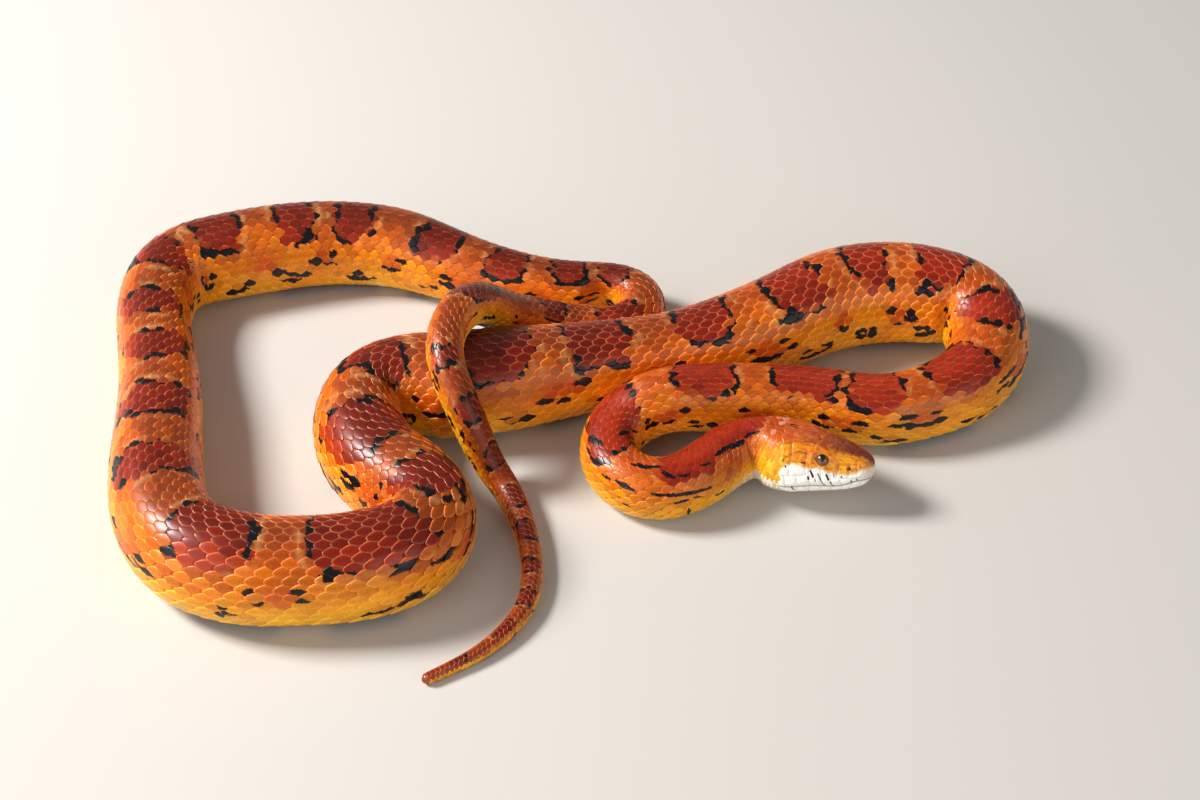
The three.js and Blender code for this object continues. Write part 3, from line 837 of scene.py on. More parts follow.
    def _black(self, spots: Spots, offset: Array, corner: Array) -> Array:
        """Black of the neck's streaks, the flecks and, by offset from them, the saddles' edges."""
        at, share = spots.at, spots.share
        present = smoothstep(self.breaks.read(at, share), 0.38, 0.56)
        on_back = falling(np.abs(share), 0.06, 0.16)
        reach = np.maximum((0.14 + 0.1 * present) * on_back, present * (0.15 + 0.45 * corner))
        reach = reach * smoothstep(at, 74, 88)
        ink = np.maximum(smoothstep(reach - offset, -0.14, 0.16), self._neck_ink(at, share))
        mixed_at = 0.62 * at + 0.38 * spots.plate_at
        mixed_share = 0.62 * share + 0.38 * spots.plate_share
        for middle, level, long, deep in self.flecks:
            near = np.flatnonzero((np.abs(at - middle) < 2.5 * long) & (np.abs(share - level) < 2.5 * deep))
            value = np.hypot((mixed_at[near] - middle) / long, (mixed_share[near] - level) / deep)
            ink[near] = np.maximum(ink[near], falling(value, 0.7, 1.25))
        return ink

    def read(self, spots: Spots) -> Values:
        """Colour and black at points of the surface.

        Args:
            spots: The points, with the scale that each is on.

        Returns:
            Arrays by name: paint, a linear colour, and ink, the black from 0 to 1.
        """
        plate_down = np.abs(spots.plate_share)
        loose = 0.5 + 1.2 * smoothstep(plate_down, 0.1, 0.24)
        wobble = (self.wobble.read(spots.plate_at, spots.plate_share) - 0.5) * loose
        edge, _ = self._saddle_edge(spots.plate_at, spots.plate_share)
        paint = self._coat(spots, edge + wobble)
        self._add_flank_blotches(paint, spots, wobble)
        paint = self._tint_neck(paint, spots.plate_at, plate_down, spots.chance)
        bright = 1 + ((spots.chance * 5.77) % 1 - 0.5) * 0.3
        paint = paint * bright[:, None]
        fine_edge, corner = self._saddle_edge(spots.at, spots.share)
        gaps = smoothstep(self.gaps.read(spots.plate_at, spots.plate_share), 0.4, 0.62)
        paint = tinted(paint, self.palette.border, 0.36 * gaps * hump(fine_edge + wobble - 0.5, 0.2))
        side_line = 0.6 * fine_edge + 0.4 * edge + wobble
        offset = np.abs(side_line + ((spots.chance * 3.31) % 1 - 0.5) * 0.4)
        return {"paint": paint, "ink": self._black(spots, offset, corner)}


@dataclass
class MeshParts:
    """Arrays of one mesh under way: places, faces, map and attributes."""

    points: list[Array] = field(default_factory=list)
    corners: list[Array] = field(default_factory=list)
    sizes: list[Array] = field(default_factory=list)
    maps: list[Array] = field(default_factory=list)
    values: dict[str, list[Array]] = field(default_factory=dict)
    total: int = 0

    def add(self, points: Array, corners: Array, sizes: Array, maps: Array, values: Values) -> None:
        """Adds places, corners counted among them, sizes of faces, and numbers by place."""
        self.points.append(points)
        self.corners.append(corners + self.total)
        self.sizes.append(sizes)
        self.maps.append(maps)
        for key, value in values.items():
            self.values.setdefault(key, []).append(value)
        self.total += len(points)

    def make(self, name: str) -> Thing:
        """The mesh object, with its points brought to metres."""
        mesh = bpy.data.meshes.new(name)
        points = np.concatenate(self.points) * MM
        corners = np.concatenate(self.corners).astype(np.int32)
        sizes = np.concatenate(self.sizes).astype(np.int32)
        mesh.vertices.add(len(points))
        mesh.vertices.foreach_set("co", points.astype(np.float32).ravel())
        mesh.loops.add(len(corners))
        mesh.loops.foreach_set("vertex_index", corners)
        mesh.polygons.add(len(sizes))
        starts = np.concatenate([[0], np.cumsum(sizes)[:-1]]).astype(np.int32)
        mesh.polygons.foreach_set("loop_start", starts)
        mesh.polygons.foreach_set("loop_total", sizes)
        mesh.update(calc_edges=True)
        mesh.polygons.foreach_set("use_smooth", np.ones(len(sizes), bool))
        layer = mesh.uv_layers.new(name="OFBake")
        layer.data.foreach_set("uv", np.concatenate(self.maps).astype(np.float32).ravel())
        for key, value in self.values.items():
            numbers = np.concatenate(value).astype(np.float32)
            if numbers.ndim == 1:
                mesh.attributes.new(key, "FLOAT", "POINT").data.foreach_set("value", numbers)
                continue
            colours = np.concatenate([numbers, np.ones((len(numbers), 1), np.float32)], axis=1)
            mesh.attributes.new(key, "FLOAT_COLOR", "POINT").data.foreach_set("color", colours.ravel())
        mesh.validate(clean_customdata=False)
        thing = bpy.data.objects.new(name, mesh)
        bpy.context.scene.collection.objects.link(thing)
        return thing


@dataclass(frozen=True)
class Lie:
    """How plates lie, in shares of their pitch: rise to the tip, depth, dome and thickness.

    The stretch is the most that a plate may be drawn out on the outside of a bend.
    """

    rise: float = 0.07
    sink: float = 0.012
    dome: float = 0.02
    thick: float = 0.026
    stretch: float = 1.18


@dataclass(frozen=True)
class Lot:
    """Places for a number of plates.

    In order: distance of each plate from the snout, its share of the girth, the distance to its
    neighbour in the row, the width of its row as a share of the girth, the corner of its patch
    on the map, and the size of a patch.
    """

    at: Array
    share: Array
    pitch: Array
    width: Array
    cell: Array
    cell_size: Pair


class Plate:
    """The form of one scale, as a closed plate on a small grid."""

    # Where a patch of the map holds the top, how much wider its rim is, and where the underside is
    TOP_LONG = (0.1, 0.9)
    TOP_WIDE = (0.12, 0.68)
    TOP_MIDDLE = (0.5, 0.4)
    RIM_WIDER = (1.16, 1.26)
    # Share of the thickness by which the underside is drawn in
    DRAWN_IN = 0.35

    def __init__(self, along: Row, across: Row, half: Row) -> None:
        """Lays out the grid.

        Args:
            along: Stations from root to tip, in pitches from the middle of the scale.
            across: Places across, from -1 to 1.
            half: Half width at each station, as a share of the row's width.
        """
        self.along = np.array(along)
        self.across = np.array(across)
        self.half = np.array(half)
        rows, columns = len(along), len(across)
        grid = np.arange(rows * columns).reshape(rows, columns)
        self.ring = np.concatenate([grid[0, :], grid[1:, -1], grid[-1, -2::-1], grid[-2:0:-1, 0]])
        low = rows * columns + np.arange(len(self.ring))
        upper = [[grid[i, j], grid[i + 1, j], grid[i + 1, j + 1], grid[i, j + 1]]
                 for i in range(rows - 1) for j in range(columns - 1)]
        after, low_after = np.roll(self.ring, -1), np.roll(low, -1)
        upper += [[a, b, d, c] for a, b, c, d in zip(self.ring, after, low, low_after)]
        under = self._under(low, rows, columns)
        faces = upper + under
        self.sizes = np.array([len(face) for face in faces])
        self.corners = np.concatenate([np.array(face) for face in faces])
        self.map = self._map(upper, under)

    @staticmethod
    def _under(low: Array, rows: int, columns: int) -> list[list[int]]:
        """Faces of the underside, strip by strip from root to tip."""
        right = low[columns - 1:columns - 1 + rows]
        left = np.array([low[0], *low[::-1][:rows - 1]])
        root, tip = low[1:columns - 1], low[columns - 1 + rows:2 * columns + rows - 3]
        under = []
        for i in range(rows - 1):
            face = [left[i], *(root if i == 0 else []), right[i], right[i + 1]]
            under.append([*face, *(tip if i == rows - 2 else []), left[i + 1]])
        return under

    def _map(self, upper: list[list[int]], under: list[list[int]]) -> Array:
        """Place of each corner on a square patch: the top and its rim, and the underside beside it."""
        u = np.linspace(*self.TOP_LONG, len(self.along))
        v = np.linspace(*self.TOP_WIDE, len(self.across))
        top = np.array([(a, b) for a in u for b in v])
        middle = np.array(self.TOP_MIDDLE)
        patch = np.concatenate([top, middle + (top[self.ring] - middle) * np.array(self.RIM_WIDER)])
        beside = patch.copy()
        beside[:, 1] = 0.8 + (patch[:, 1] - 0.05) / 0.7 * 0.16
        places = [patch[np.array(face)] for face in upper] + [beside[np.array(face)] for face in under]
        return np.concatenate(places)

    def _height(self, x: Array, edge: Array, pitch: Array, lie: Lie) -> Array:
        """Height of the top over the hide: rising to the tip, domed across, rounded off at the tip."""
        risen = (x - self.along[0]) / (self.along[-1] - self.along[0])
        height = -lie.rise * pitch * (1 - risen) - lie.sink * pitch
        height = height + lie.dome * pitch * (1 - edge**2)
        return height - lie.dome * pitch * 0.8 * smoothstep(risen, 0.86, 1.0)

    def _with_ring(self, values: Array) -> Array:
        """Values of the grid's points, followed by those of its outer ring again."""
        return np.concatenate([values, values[:, self.ring]], axis=1)

    def set_out(self, parts: MeshParts, hide: Hide, lot: Lot, pattern: Pattern, lie: Lie) -> None:
        """Lays one plate at each place and adds them to the mesh.

        Args:
            parts: The mesh under way.
            hide: The surface that the plates lie on.
            lot: Their places.
            pattern: What colours the plates.
            lie: How the plates lie.
        """
        count = len(lot.at)
        rows, columns = len(self.along), len(self.across)
        pitch = lot.pitch[:, None, None]
        _, _, stretch = hide.patch(lot.at, lot.share)
        length = lot.pitch * np.minimum(1, lie.stretch / np.maximum(stretch, 1e-3))
        x = self.along[None, :, None] * np.ones((count, 1, columns))
        y = self.across[None, None, :] * self.half[None, :, None] * np.ones((count, 1, 1))
        place = (lot.at[:, None, None] + x * length[:, None, None]).ravel()
        place = np.clip(place, 0.0, hide.spine.length)
        turn = (lot.share[:, None, None] + y * lot.width[:, None, None]).ravel()
        points, outward, _ = hide.patch(place, turn)
        edge = np.abs(self.across)[None, None, :] * np.ones((count, rows, 1))
        top = points + outward * self._height(x, edge, pitch, lie).ravel()[:, None]
        grid = top.reshape(count, rows * columns, 3)
        ring = grid[:, self.ring]
        ring_out = outward.reshape(count, rows * columns, 3)[:, self.ring]
        inward = unit(grid.mean(axis=1, keepdims=True) - ring)
        low = ring - ring_out * (lie.thick * pitch) + inward * (self.DRAWN_IN * lie.thick * pitch)
        both = np.concatenate([grid, low], axis=1)
        both[:, :, 2] = np.maximum(both[:, :, 2], 0.0)
        per = both.shape[1]
        corners = (self.corners[None, :] + (np.arange(count) * per)[:, None]).ravel()
        patches = lot.cell[:, None, :] + self.map[None, :, :] * np.array(lot.cell_size)
        rim = np.maximum(smoothstep(edge, 0.4, 1), smoothstep(x, self.along[-3], self.along[-1]))
        rim = np.concatenate([rim.reshape(count, -1), np.ones((count, len(self.ring)))], axis=1)
        vertex_at = self._with_ring(place.reshape(count, -1)).ravel()
        vertex_share = self._with_ring(turn.reshape(count, -1)).ravel()
        values = pattern(np.repeat(np.arange(count), per), vertex_at, vertex_share)
        values["rim"] = rim.ravel() * values.get("rim", 1.0)
        sizes = np.tile(self.sizes, count)
        parts.add(both.reshape(-1, 3), corners, sizes, patches.reshape(-1, 2), values)


class Nodes:
    """A material's node tree under construction."""

    def __init__(self, name: str) -> None:
        """Starts an empty tree with a shader joined to the output."""
        self.material = bpy.data.materials.new(name)
        self.material.use_nodes = True
        self.tree = self.material.node_tree
        self.tree.nodes.clear()
        self.shader = self.add("ShaderNodeBsdfPrincipled")
        output = self.add("ShaderNodeOutputMaterial")
        self.tree.links.new(self.shader.outputs[0], output.inputs[0])

    def _feed(self, socket: Socket, value: Socket | float | str) -> None:
        """Links an input to another socket, or gives it a number or an sRGB hex colour."""
        if isinstance(value, Socket):
            self.tree.links.new(value, socket)
        else:
            socket.default_value = linear(value) if isinstance(value, str) else value

    def add(self, kind: str, inputs: dict | None = None, **settings) -> bpy.types.Node:
        """Adds a node with its settings, input values and links.

        Args:
            kind: Type of node.
            inputs: Values or output sockets by the input's name or number.
            **settings: Properties set on the node.

        Returns:
            The node.
        """
        node = self.tree.nodes.new(kind)
        for key, value in settings.items():
            setattr(node, key, value)
        for key, value in (inputs or {}).items():
            self._feed(node.inputs[key], value)
        return node

    def shade(self, **inputs) -> None:
        """Sets or links inputs of the shader, given with underscores for spaces."""
        for key, value in inputs.items():
            self._feed(self.shader.inputs[key.replace("_", " ")], value)

    def stored(self, name: str, output: str = "Fac") -> Socket:
        """A number or, with the output Color, a colour stored on the mesh."""
        return self.add("ShaderNodeAttribute", attribute_name=name).outputs[output]

    def scaled(self, colour: Socket, factor: Socket | float) -> Socket:
        """Colour made lighter or darker by a factor."""
        inputs = {0: colour, "Scale": factor}
        return self.add("ShaderNodeVectorMath", inputs, operation="SCALE").outputs[0]

    def mixed(self, share: Socket | float, first: Socket | str, second: Socket | str) -> Socket:
        """Colour between two others."""
        return self.add("ShaderNodeMix", {0: share, 6: first, 7: second}, data_type="RGBA").outputs[2]

    def ranged(self, value: Socket, low: float, high: float, start: float = 0.0,
               end: float = 1.0) -> Socket:
        """Value mapped smoothly from one range to another."""
        inputs = {"Value": value, "From Min": low, "From Max": high, "To Min": start, "To Max": end}
        return self.add("ShaderNodeMapRange", inputs, interpolation_type="SMOOTHSTEP").outputs[0]

    def math(self, operation: str, first: Socket, second: Socket | float) -> Socket:
        """Result of a sum, product or the like."""
        return self.add("ShaderNodeMath", {0: first, 1: second}, operation=operation).outputs[0]

    def noise(self, size: float) -> Socket:
        """Cloudy pattern with features of about the given size in millimetres."""
        where = self.add("ShaderNodeTexCoord").outputs["Object"]
        inputs = {"Vector": where, "Scale": 1 / (size * MM), "Detail": 2.0}
        return self.add("ShaderNodeTexNoise", inputs).outputs[0]

    def clouded(self, size: float, low: float, high: float) -> Socket:
        """Number that wanders between two values over spots of the given size."""
        return self.ranged(self.noise(size), 0.3, 0.7, low, high)

    def bump(self, size: float, depth: float) -> None:
        """Fine grain in relief, of the given size and depth in millimetres."""
        relief = {"Height": self.noise(size), "Distance": depth * MM, "Strength": 1.0}
        self.shade(Normal=self.add("ShaderNodeBump", relief).outputs[0])


@dataclass(frozen=True)
class HideFinish:
    """What the finishes of the hide share: mottled paint, black with frayed edges and a fine grain.

    A mottle is its size with the darkest and lightest factor, a fray its size and strength, a
    grain its size and depth; all sizes are those of the living skin in millimetres.
    """

    name: str
    ink: str
    mottle: Trio = (0.7, 0.88, 1.1)
    fray: Pair = (0.5, 0.1)
    ink_edge: Pair = (0.36, 0.64)
    grain: Pair = (0.3, 0.01)
    roughness: float = 0.34
    coat: float = 0.2
    coat_roughness: float = 0.16
    specular: float = 0.5

    def _base(self, nodes: Nodes) -> Socket:
        """Paint of the mesh with its mottle, under the black."""
        return nodes.scaled(nodes.stored("paint", "Color"), nodes.clouded(*self.mottle))

    def material(self) -> bpy.types.Material:
        """The material, with black laid over the base where the mesh asks for it."""
        nodes = Nodes(self.name)
        size, strength = self.fray
        ragged = nodes.math("ADD", nodes.stored("ink"), nodes.clouded(size, -strength, strength))
        dark = nodes.mixed(nodes.ranged(ragged, *self.ink_edge), self._base(nodes), self.ink)
        nodes.shade(Base_Color=dark, Roughness=self.roughness, Specular_IOR_Level=self.specular,
                    Coat_Weight=self.coat, Coat_Roughness=self.coat_roughness)
        nodes.bump(*self.grain)
        return nodes.material


@dataclass(frozen=True)
class ScaleFinish(HideFinish):
    """Keratin of back and flanks: saturated and softly glossy, each scale drawn by a painted highlight
    along its rim.
    """

    name: str = "glossy_keratin_scale"
    ink: str = "#0D090E"
    mottle: Trio = (0.8, 0.88, 1.1)
    fray: Pair = (0.7, 0.16)
    ink_edge: Pair = (0.38, 0.62)
    grain: Pair = (0.25, 0.008)
    coat: float = 0.1
    coat_roughness: float = 0.12
    specular: float = 0.3
    # Painted highlight along the free edge of each scale: its colour, strength, paleness and gain on the
    # paint
    rim: str = "#F5B070"
    rim_highlight_strength: float = 0.75
    rim_highlight_pale: float = 0.42
    rim_highlight_gain: float = 1.7

    def _base(self, nodes: Nodes) -> Socket:
        """Paint deeper in the middle of the scale as painted shade, and lighter and paler along its thin
        edge as a painted highlight.
        """
        rim = nodes.stored("rim")
        paint = nodes.stored("paint", "Color")
        deep = nodes.ranged(rim, 0.0, 0.6, 0.86, 1.04)
        shade = nodes.math("MULTIPLY", nodes.clouded(*self.mottle), deep)
        bright = nodes.mixed(self.rim_highlight_pale, nodes.scaled(paint, self.rim_highlight_gain), self.rim)
        amount = nodes.math("MULTIPLY", nodes.ranged(rim, 0.45, 1.0), self.rim_highlight_strength)
        return nodes.mixed(amount, nodes.scaled(paint, shade), bright)


@dataclass(frozen=True)
class BellyFinish(HideFinish):
    """Keratin of the belly scutes: cream with crisp black checks, polished smoother than the back."""

    name: str = "polished_keratin_scute"
    ink: str = "#17131A"
    mottle: Trio = (1.5, 0.94, 1.04)
    fray: Pair = (0.8, 0.12)
    ink_edge: Pair = (0.42, 0.58)
    grain: Pair = (0.4, 0.01)
    roughness: float = 0.3
    coat_roughness: float = 0.15


@dataclass(frozen=True)
class SkinFinish(HideFinish):
    """Soft skin between the scales and the glossy shields of the head, with sharp small lights."""

    name: str = "soft_skin_and_head_shields"
    ink: str = "#0F0A0F"


@dataclass(frozen=True)
class EyeFinish:
    """Living eye under its clear spectacle: black round pupil, warm iris, wet and catching light."""

    pupil: str = "#060405"
    iris: str = "#A84E14"
    iris_dark: str = "#5E2810"
    iris_ring: str = "#E09A3A"
    pupil_angle: float = 0.65

    def material(self) -> bpy.types.Material:
        """Eye material, by the angle from the middle of the pupil."""
        nodes = Nodes("wet_eye_under_spectacle")
        angle = nodes.stored("angle")
        iris = nodes.mixed(nodes.ranged(nodes.noise(0.35), 0.35, 0.65), self.iris, self.iris_dark)
        edge = nodes.mixed(nodes.ranged(angle, 0.9, 1.15), iris, self.iris_dark)
        ring = nodes.ranged(angle, self.pupil_angle + 0.04, self.pupil_angle, 0.0, 0.4)
        bright = nodes.mixed(ring, edge, self.iris_ring)
        inside = nodes.ranged(angle, self.pupil_angle, self.pupil_angle - 0.03)
        colour = nodes.mixed(inside, bright, self.pupil)
        nodes.shade(Base_Color=colour, Roughness=0.22, Coat_Weight=1.0, Coat_Roughness=0.02)
        return nodes.material


@dataclass(frozen=True)
class Stroke:
    """A black mark on the head: its line, distance from the snout and height, and its half width."""

    line: Line
    half: float


@dataclass(frozen=True)
class HeadSpots:
    """Points on the plain head: places, shares, distances to seams and mouth, random numbers."""

    places: Array
    share: Array
    seam: Array
    mouth: Array
    clouds: Array
    speckle: Array


@dataclass
class HeadForm:
    """Shields, lips, nostrils, sockets and brows of the head, with their colours.

    A place on the head is its distance from the snout, side and height, in millimetres. Both
    sides are alike.
    """

    hide: Hide
    end: float = 35.5
    depth: float = 0.5
    overlap: float = 0.12
    groove_depth: float = 0.16
    groove_width: float = 0.26
    mouth_depth: float = 0.34
    mouth_width: float = 0.3
    nostril: Pair = (6.6, 1.4)
    nostril_radius: float = 0.55
    brow: Trio = (14.4, 6.7, 5.9)
    palette: HeadPalette = HeadPalette()

    # Seams between the shields of the crown and of the chin, by distance and side
    CROWN_SEAMS = (
        ((2.2, 0), (2.6, 2), (3.4, 3.4)), ((2.2, 0), (6.3, 0), (10.5, 0)),
        ((6.3, 0), (6.5, 2.5), (6.6, 4.6)), ((3.4, 3.4), (4.6, 4.2), (6.6, 4.6), (9, 5.6), (11, 6.1)),
        ((10.5, 0), (11.2, 2.8)), ((11.2, 2.8), (11, 6.1)), ((11.2, 2.8), (16.9, 2.2), (18.7, 0)),
        ((16.9, 2.2), (17.9, 4.9), (17.8, 7)), ((11, 6.1), (13.5, 6.7), (17.6, 7.2)),
        ((18.7, 0), (28.6, 0)), ((17.9, 4.9), (20.5, 7.2), (24.5, 7.0), (27.7, 5.5)),
    )
    CHIN_SEAMS = (
        ((2.6, 0), (20, 0)), ((2.6, 1.6), (6, 3), (11, 3.6)), ((11, 3.6), (11.4, 0)),
        ((11, 3.6), (15, 4.3), (19.5, 3)), ((19.5, 3), (20, 0)),
    )
    # Seams of the cheeks, by distance and height
    SIDE_SEAMS = (
        ((2.3, -1.2), (4.5, -1.4), (8, -1.9), (11.5, -1.2), (12.8, 0.9)),
        ((17, 0.9), (18.5, -1.6), (22, -2.4), (26.5, -3), (28, -4.5)), ((6.3, -1.5), (6.6, 2.6)),
        ((3.6, -1.3), (4.6, 2.6)), ((9.8, -1.6), (9.9, 3.2)), ((6.6, 2.3), (9.9, 2.7)),
        ((9.9, 3.2), (12.2, 5.2)), ((17.2, 3.5), (19.2, 3.6)), ((19.3, 1.2), (19.5, 5.8)),
        ((18.6, -1.5), (19.3, 1.2)), ((19.3, 2.2), (23.6, 2)), ((23.4, -2.4), (23.8, 4.6)),
        ((23.7, 0.2), (27.5, 0.2)), ((23.8, 3.2), (27.8, 3.2)), ((23.8, 4.6), (24.4, 7.2)),
        ((24.3, 6.8), (27.4, 6.8)), ((2, -5.4), (8, -7.2), (14, -8), (22, -9.2)),
    )
    # Seams between the scales of the upper lip: distance, and height of their upper ends
    LIP_SEAMS = (
        (2.6, -1.2), (5.2, -1.4), (8.2, -1.9), (11.2, -1.3), (14.2, 1.0), (17.4, 0.7), (20.8, -2.2),
        (24.4, -2.7),
    )
    # Upper edge of the white of lips and throat by distance, and where crown turns into cheek
    WHITE_EDGE = ((0, 3, 5, 8, 10.2, 12, 13.8, 15.3, 17.4, 19.2, 22.8, 25.4, 26.3, 27.2, 28.6, 31, 36),
                  (1.5, 1.0, 0.1, -0.5, -0.4, -0.1, 0.5, 1.0, 0.3, 0.9, 1.2, 0.3, -1.3, -3.3, -4.7, -6.2,
                   -7.8))
    CROWN_EDGE = ((0, 4, 8, 12, 15, 19, 23, 28, 34), (0.12, 0.15, 0.18, 0.2, 0.2, 0.17, 0.21, 0.28, 0.3))
    # Black bars and flecks of the cheeks, and dark lines behind the eye
    BARS = tuple(Stroke(line, half) for line, half in (
        (((17.5, -0.1), (16.5, -1.9)), 0.34), (((18.0, -2.0), (17.7, -2.9)), 0.24),
        (((15.9, -2.5), (15.6, -3.3)), 0.14), (((15.3, -0.8), (14.1, -2.9), (12.9, -4.5)), 0.17),
        (((12.8, -0.9), (12.0, -2.4)), 0.3), (((11.4, -3.1), (10.5, -4.7)), 0.21),
        (((10.8, -0.4), (10.5, -1.4)), 0.13), (((8.4, -1.1), (8.3, -1.3)), 0.26),
        (((5.4, -2.4), (5.5, -2.6)), 0.24), (((3.9, -1.7), (3.8, -1.9)), 0.22),
        (((20.4, 2.1), (19.2, 2.0)), 0.18), (((24.9, 0.5), (24.8, 0.3)), 0.27),
        (((25.9, 2.6), (25.8, 1.7)), 0.13), (((22.5, -6.3), (21.6, -7.2)), 0.22),
        (((17.8, -7.0), (17.2, -7.8)), 0.22),
    ))
    LINES = (
        Stroke(((28.6, 5.8), (26, 6.9), (23.4, 7.5), (19.2, 7.6), (15.6, 6.9)), 0.3),
        Stroke(((25.8, 2.2), (24.9, 3.4), (23.6, 4.5), (21.6, 5.2), (19.6, 4.8)), 0.28),
    )
    CROWN_STREAK = Stroke(((31.8, 0.5), (28.4, 0.35), (25.8, 0.9)), 0.3)
    # Spacing of the points that a seam is laid with
    SEAM_STEP = 0.22
    # Points of half a section
    SECTION_POINTS = 97
    # Places whose distances to a line are worked out at once
    BLOCK = 4000

    def __post_init__(self) -> None:
        """Lays every seam on the surface as close points."""
        seams = []
        for zone, lines in ((Zone.CROWN, self.CROWN_SEAMS), (Zone.SIDE, self.SIDE_SEAMS),
                            (Zone.CHIN, self.CHIN_SEAMS)):
            seams += [self._laid(line, zone) for line in lines]
        mouth = np.array(MOUTH_LINE).T
        for back, lip in self.LIP_SEAMS:
            shut = float(np.interp(back, *mouth))
            seams.append(self._laid(((back + 0.5, lip), (back - 0.3, shut)), Zone.SIDE))
            if back < 21:
                seams.append(self._laid(((back - 0.3, shut), (back + 0.7, shut - 2.3)), Zone.SIDE))
        self.seams = np.concatenate(seams)
        back = 0.62 + 26.4 * np.linspace(0, 1, 500)**2
        self.mouth = self._lay(np.column_stack([back, np.interp(back, *mouth)]), Zone.SIDE)
        self.nostril_place = self._lay(np.array([self.nostril]), Zone.SIDE)[0]

    def _lay(self, points: Array, zone: Zone) -> Array:
        """Distance, side and height of points given by distance and height, or side, in a zone."""
        out = []
        for back, given in points:
            shares = np.linspace(0, 1, self.SECTION_POINTS)
            side, up = self.hide.local(np.full(len(shares), back), shares).T
            widest = int(np.argmax(side))
            if zone is Zone.SIDE:
                out.append((back, np.interp(given, up[::-1], side[::-1]), given))
            elif zone is Zone.CROWN:
                out.append((back, given, np.interp(given, side[:widest + 1], up[:widest + 1])))
            else:
                out.append((back, given, np.interp(given, side[:widest - 1:-1], up[:widest - 1:-1])))
        return np.array(out)

    def _laid(self, line: Line, zone: Zone, step: float = SEAM_STEP) -> Array:
        """Close points of a line laid on the head."""
        points = np.array(line, float)
        run = run_along(points)
        want = np.linspace(0, run[-1], max(int(run[-1] / step) + 2, 2))
        return self._lay(read_columns(want, run, points), zone)

    @classmethod
    def _distance(cls, places: Array, samples: Array) -> Array:
        """Distance from each place to the nearest sample, both sides alike."""
        places = np.stack([places[:, 0], np.abs(places[:, 1]), places[:, 2]], axis=1)
        out = np.empty(len(places))
        square = (samples**2).sum(1)
        for first in range(0, len(places), cls.BLOCK):
            block = places[first:first + cls.BLOCK]
            apart = (block**2).sum(1)[:, None] + square[None, :] - 2 * block @ samples.T
            out[first:first + cls.BLOCK] = np.sqrt(np.maximum(apart.min(axis=1), 0))
        return out

    @staticmethod
    def rear(share: Array | float) -> Array:
        """Distance from the snout where the head's shields end, at shares of the girth."""
        return np.interp(1 - np.abs(1 - np.abs(share)), *HEAD_REAR)

    @staticmethod
    def direction(side: Side, up_turn: float, front_turn: float) -> Array:
        """Direction turned up and to the front from straight out of a side: ahead, left and up."""
        level = math.cos(up_turn)
        out = side.value * level * math.cos(front_turn)
        return np.array([-level * math.sin(front_turn), out, math.sin(up_turn)])

    def shape(self, places: Array, share: Array, outward: Array) -> tuple[Array, Array, Array]:
        """Raises and sinks points of the plain head.

        Args:
            places: Points on the plain head: distance from the snout, side and height.
            share: Their shares of the girth.
            outward: Outward unit vectors there, in the same terms as the points.

        Returns:
            The new points, and the distances of the old ones to seams and mouth.
        """
        back, side, up = places[:, 0], np.abs(places[:, 1]), places[:, 2]
        seam = self._distance(places, self.seams)
        mouth = self._distance(places, self.mouth)
        shut = np.interp(back, *np.array(MOUTH_LINE).T)
        behind = back - self.rear(share)
        rise = -self.groove_depth * hump(seam, self.groove_width) + 0.07 * smoothstep(seam, 0.1, 1.1)
        lips = smoothstep(back, 0.8, 3) * falling(back, 25, 28)
        rise = rise + 0.24 * lips * hump(up - shut - 1.4, 1.0)
        rise = rise + 0.14 * lips * hump(up - shut + 1.5, 1.0)
        rise = rise - self.mouth_depth * hump(mouth, self.mouth_width) * falling(back, 26, 27.5)
        brow = ((back - self.brow[0]) / 3.2)**2 + ((side - self.brow[1]) / 1.1)**2
        rise = rise + 0.45 * np.exp(-(brow + ((up - self.brow[2]) / 1.3)**2))
        cheek_hollow = ((back - 8.8) / 2.6)**2 + ((up - 1.7) / 1.7)**2
        rise = rise - 0.42 * np.exp(-cheek_hollow) * smoothstep(side, 2, 4.5)
        rise = rise * smoothstep(-behind, -1, 1) + self.overlap * smoothstep(behind, -3, -0.5)
        rise = rise - (self.overlap + self.depth) * smoothstep(behind, 0, 0.6)
        out = places + outward * rise[:, None]
        for sign in Side:
            self._sink_eye(out, sign)
            self._sink_nostril(out, outward, sign)
        return out, seam, mouth

    def _sink_eye(self, points: Array, side: Side) -> None:
        """Opens the socket of one eye, with a raised ring round it."""
        centre = np.array([EYE_PLACE[0], side.value * EYE_PLACE[1], EYE_PLACE[2]])
        axis = self.direction(side, EYE_UP_TURN, EYE_FRONT_TURN)
        near = np.flatnonzero(np.linalg.norm(points - centre, axis=1) < 5)
        away = points[near] - centre
        height = away @ axis
        across = np.linalg.norm(away - height[:, None] * axis, axis=1)
        ring = 0.2 * hump(across - 2.6, 0.42) - 0.2 * hump(across - 2.02, 0.24)
        under = np.sqrt(np.maximum(EYE_RADIUS**2 - across**2, 0)) - 0.35
        inside = falling(across, 1.45, 1.8)
        change = ring * (1 - inside) + (np.minimum(under, height) - height) * inside
        points[near] += change[:, None] * axis * (height > -1)[:, None]

    def _sink_nostril(self, points: Array, outward: Array, side: Side) -> None:
        """Sinks one nostril, with a low rim."""
        spot = self.nostril_place * np.array([1, side.value, 1])
        near = np.flatnonzero(np.linalg.norm(points - spot, axis=1) < 2.5)
        across = np.linalg.norm((points[near] - spot) * np.array([1.0, 1.0, 0.8]), axis=1)
        change = -0.8 * falling(across, 0.2, self.nostril_radius + 0.1)
        change = change + 0.14 * hump(across - self.nostril_radius - 0.35, 0.25)
        points[near] += change[:, None] * outward[near]

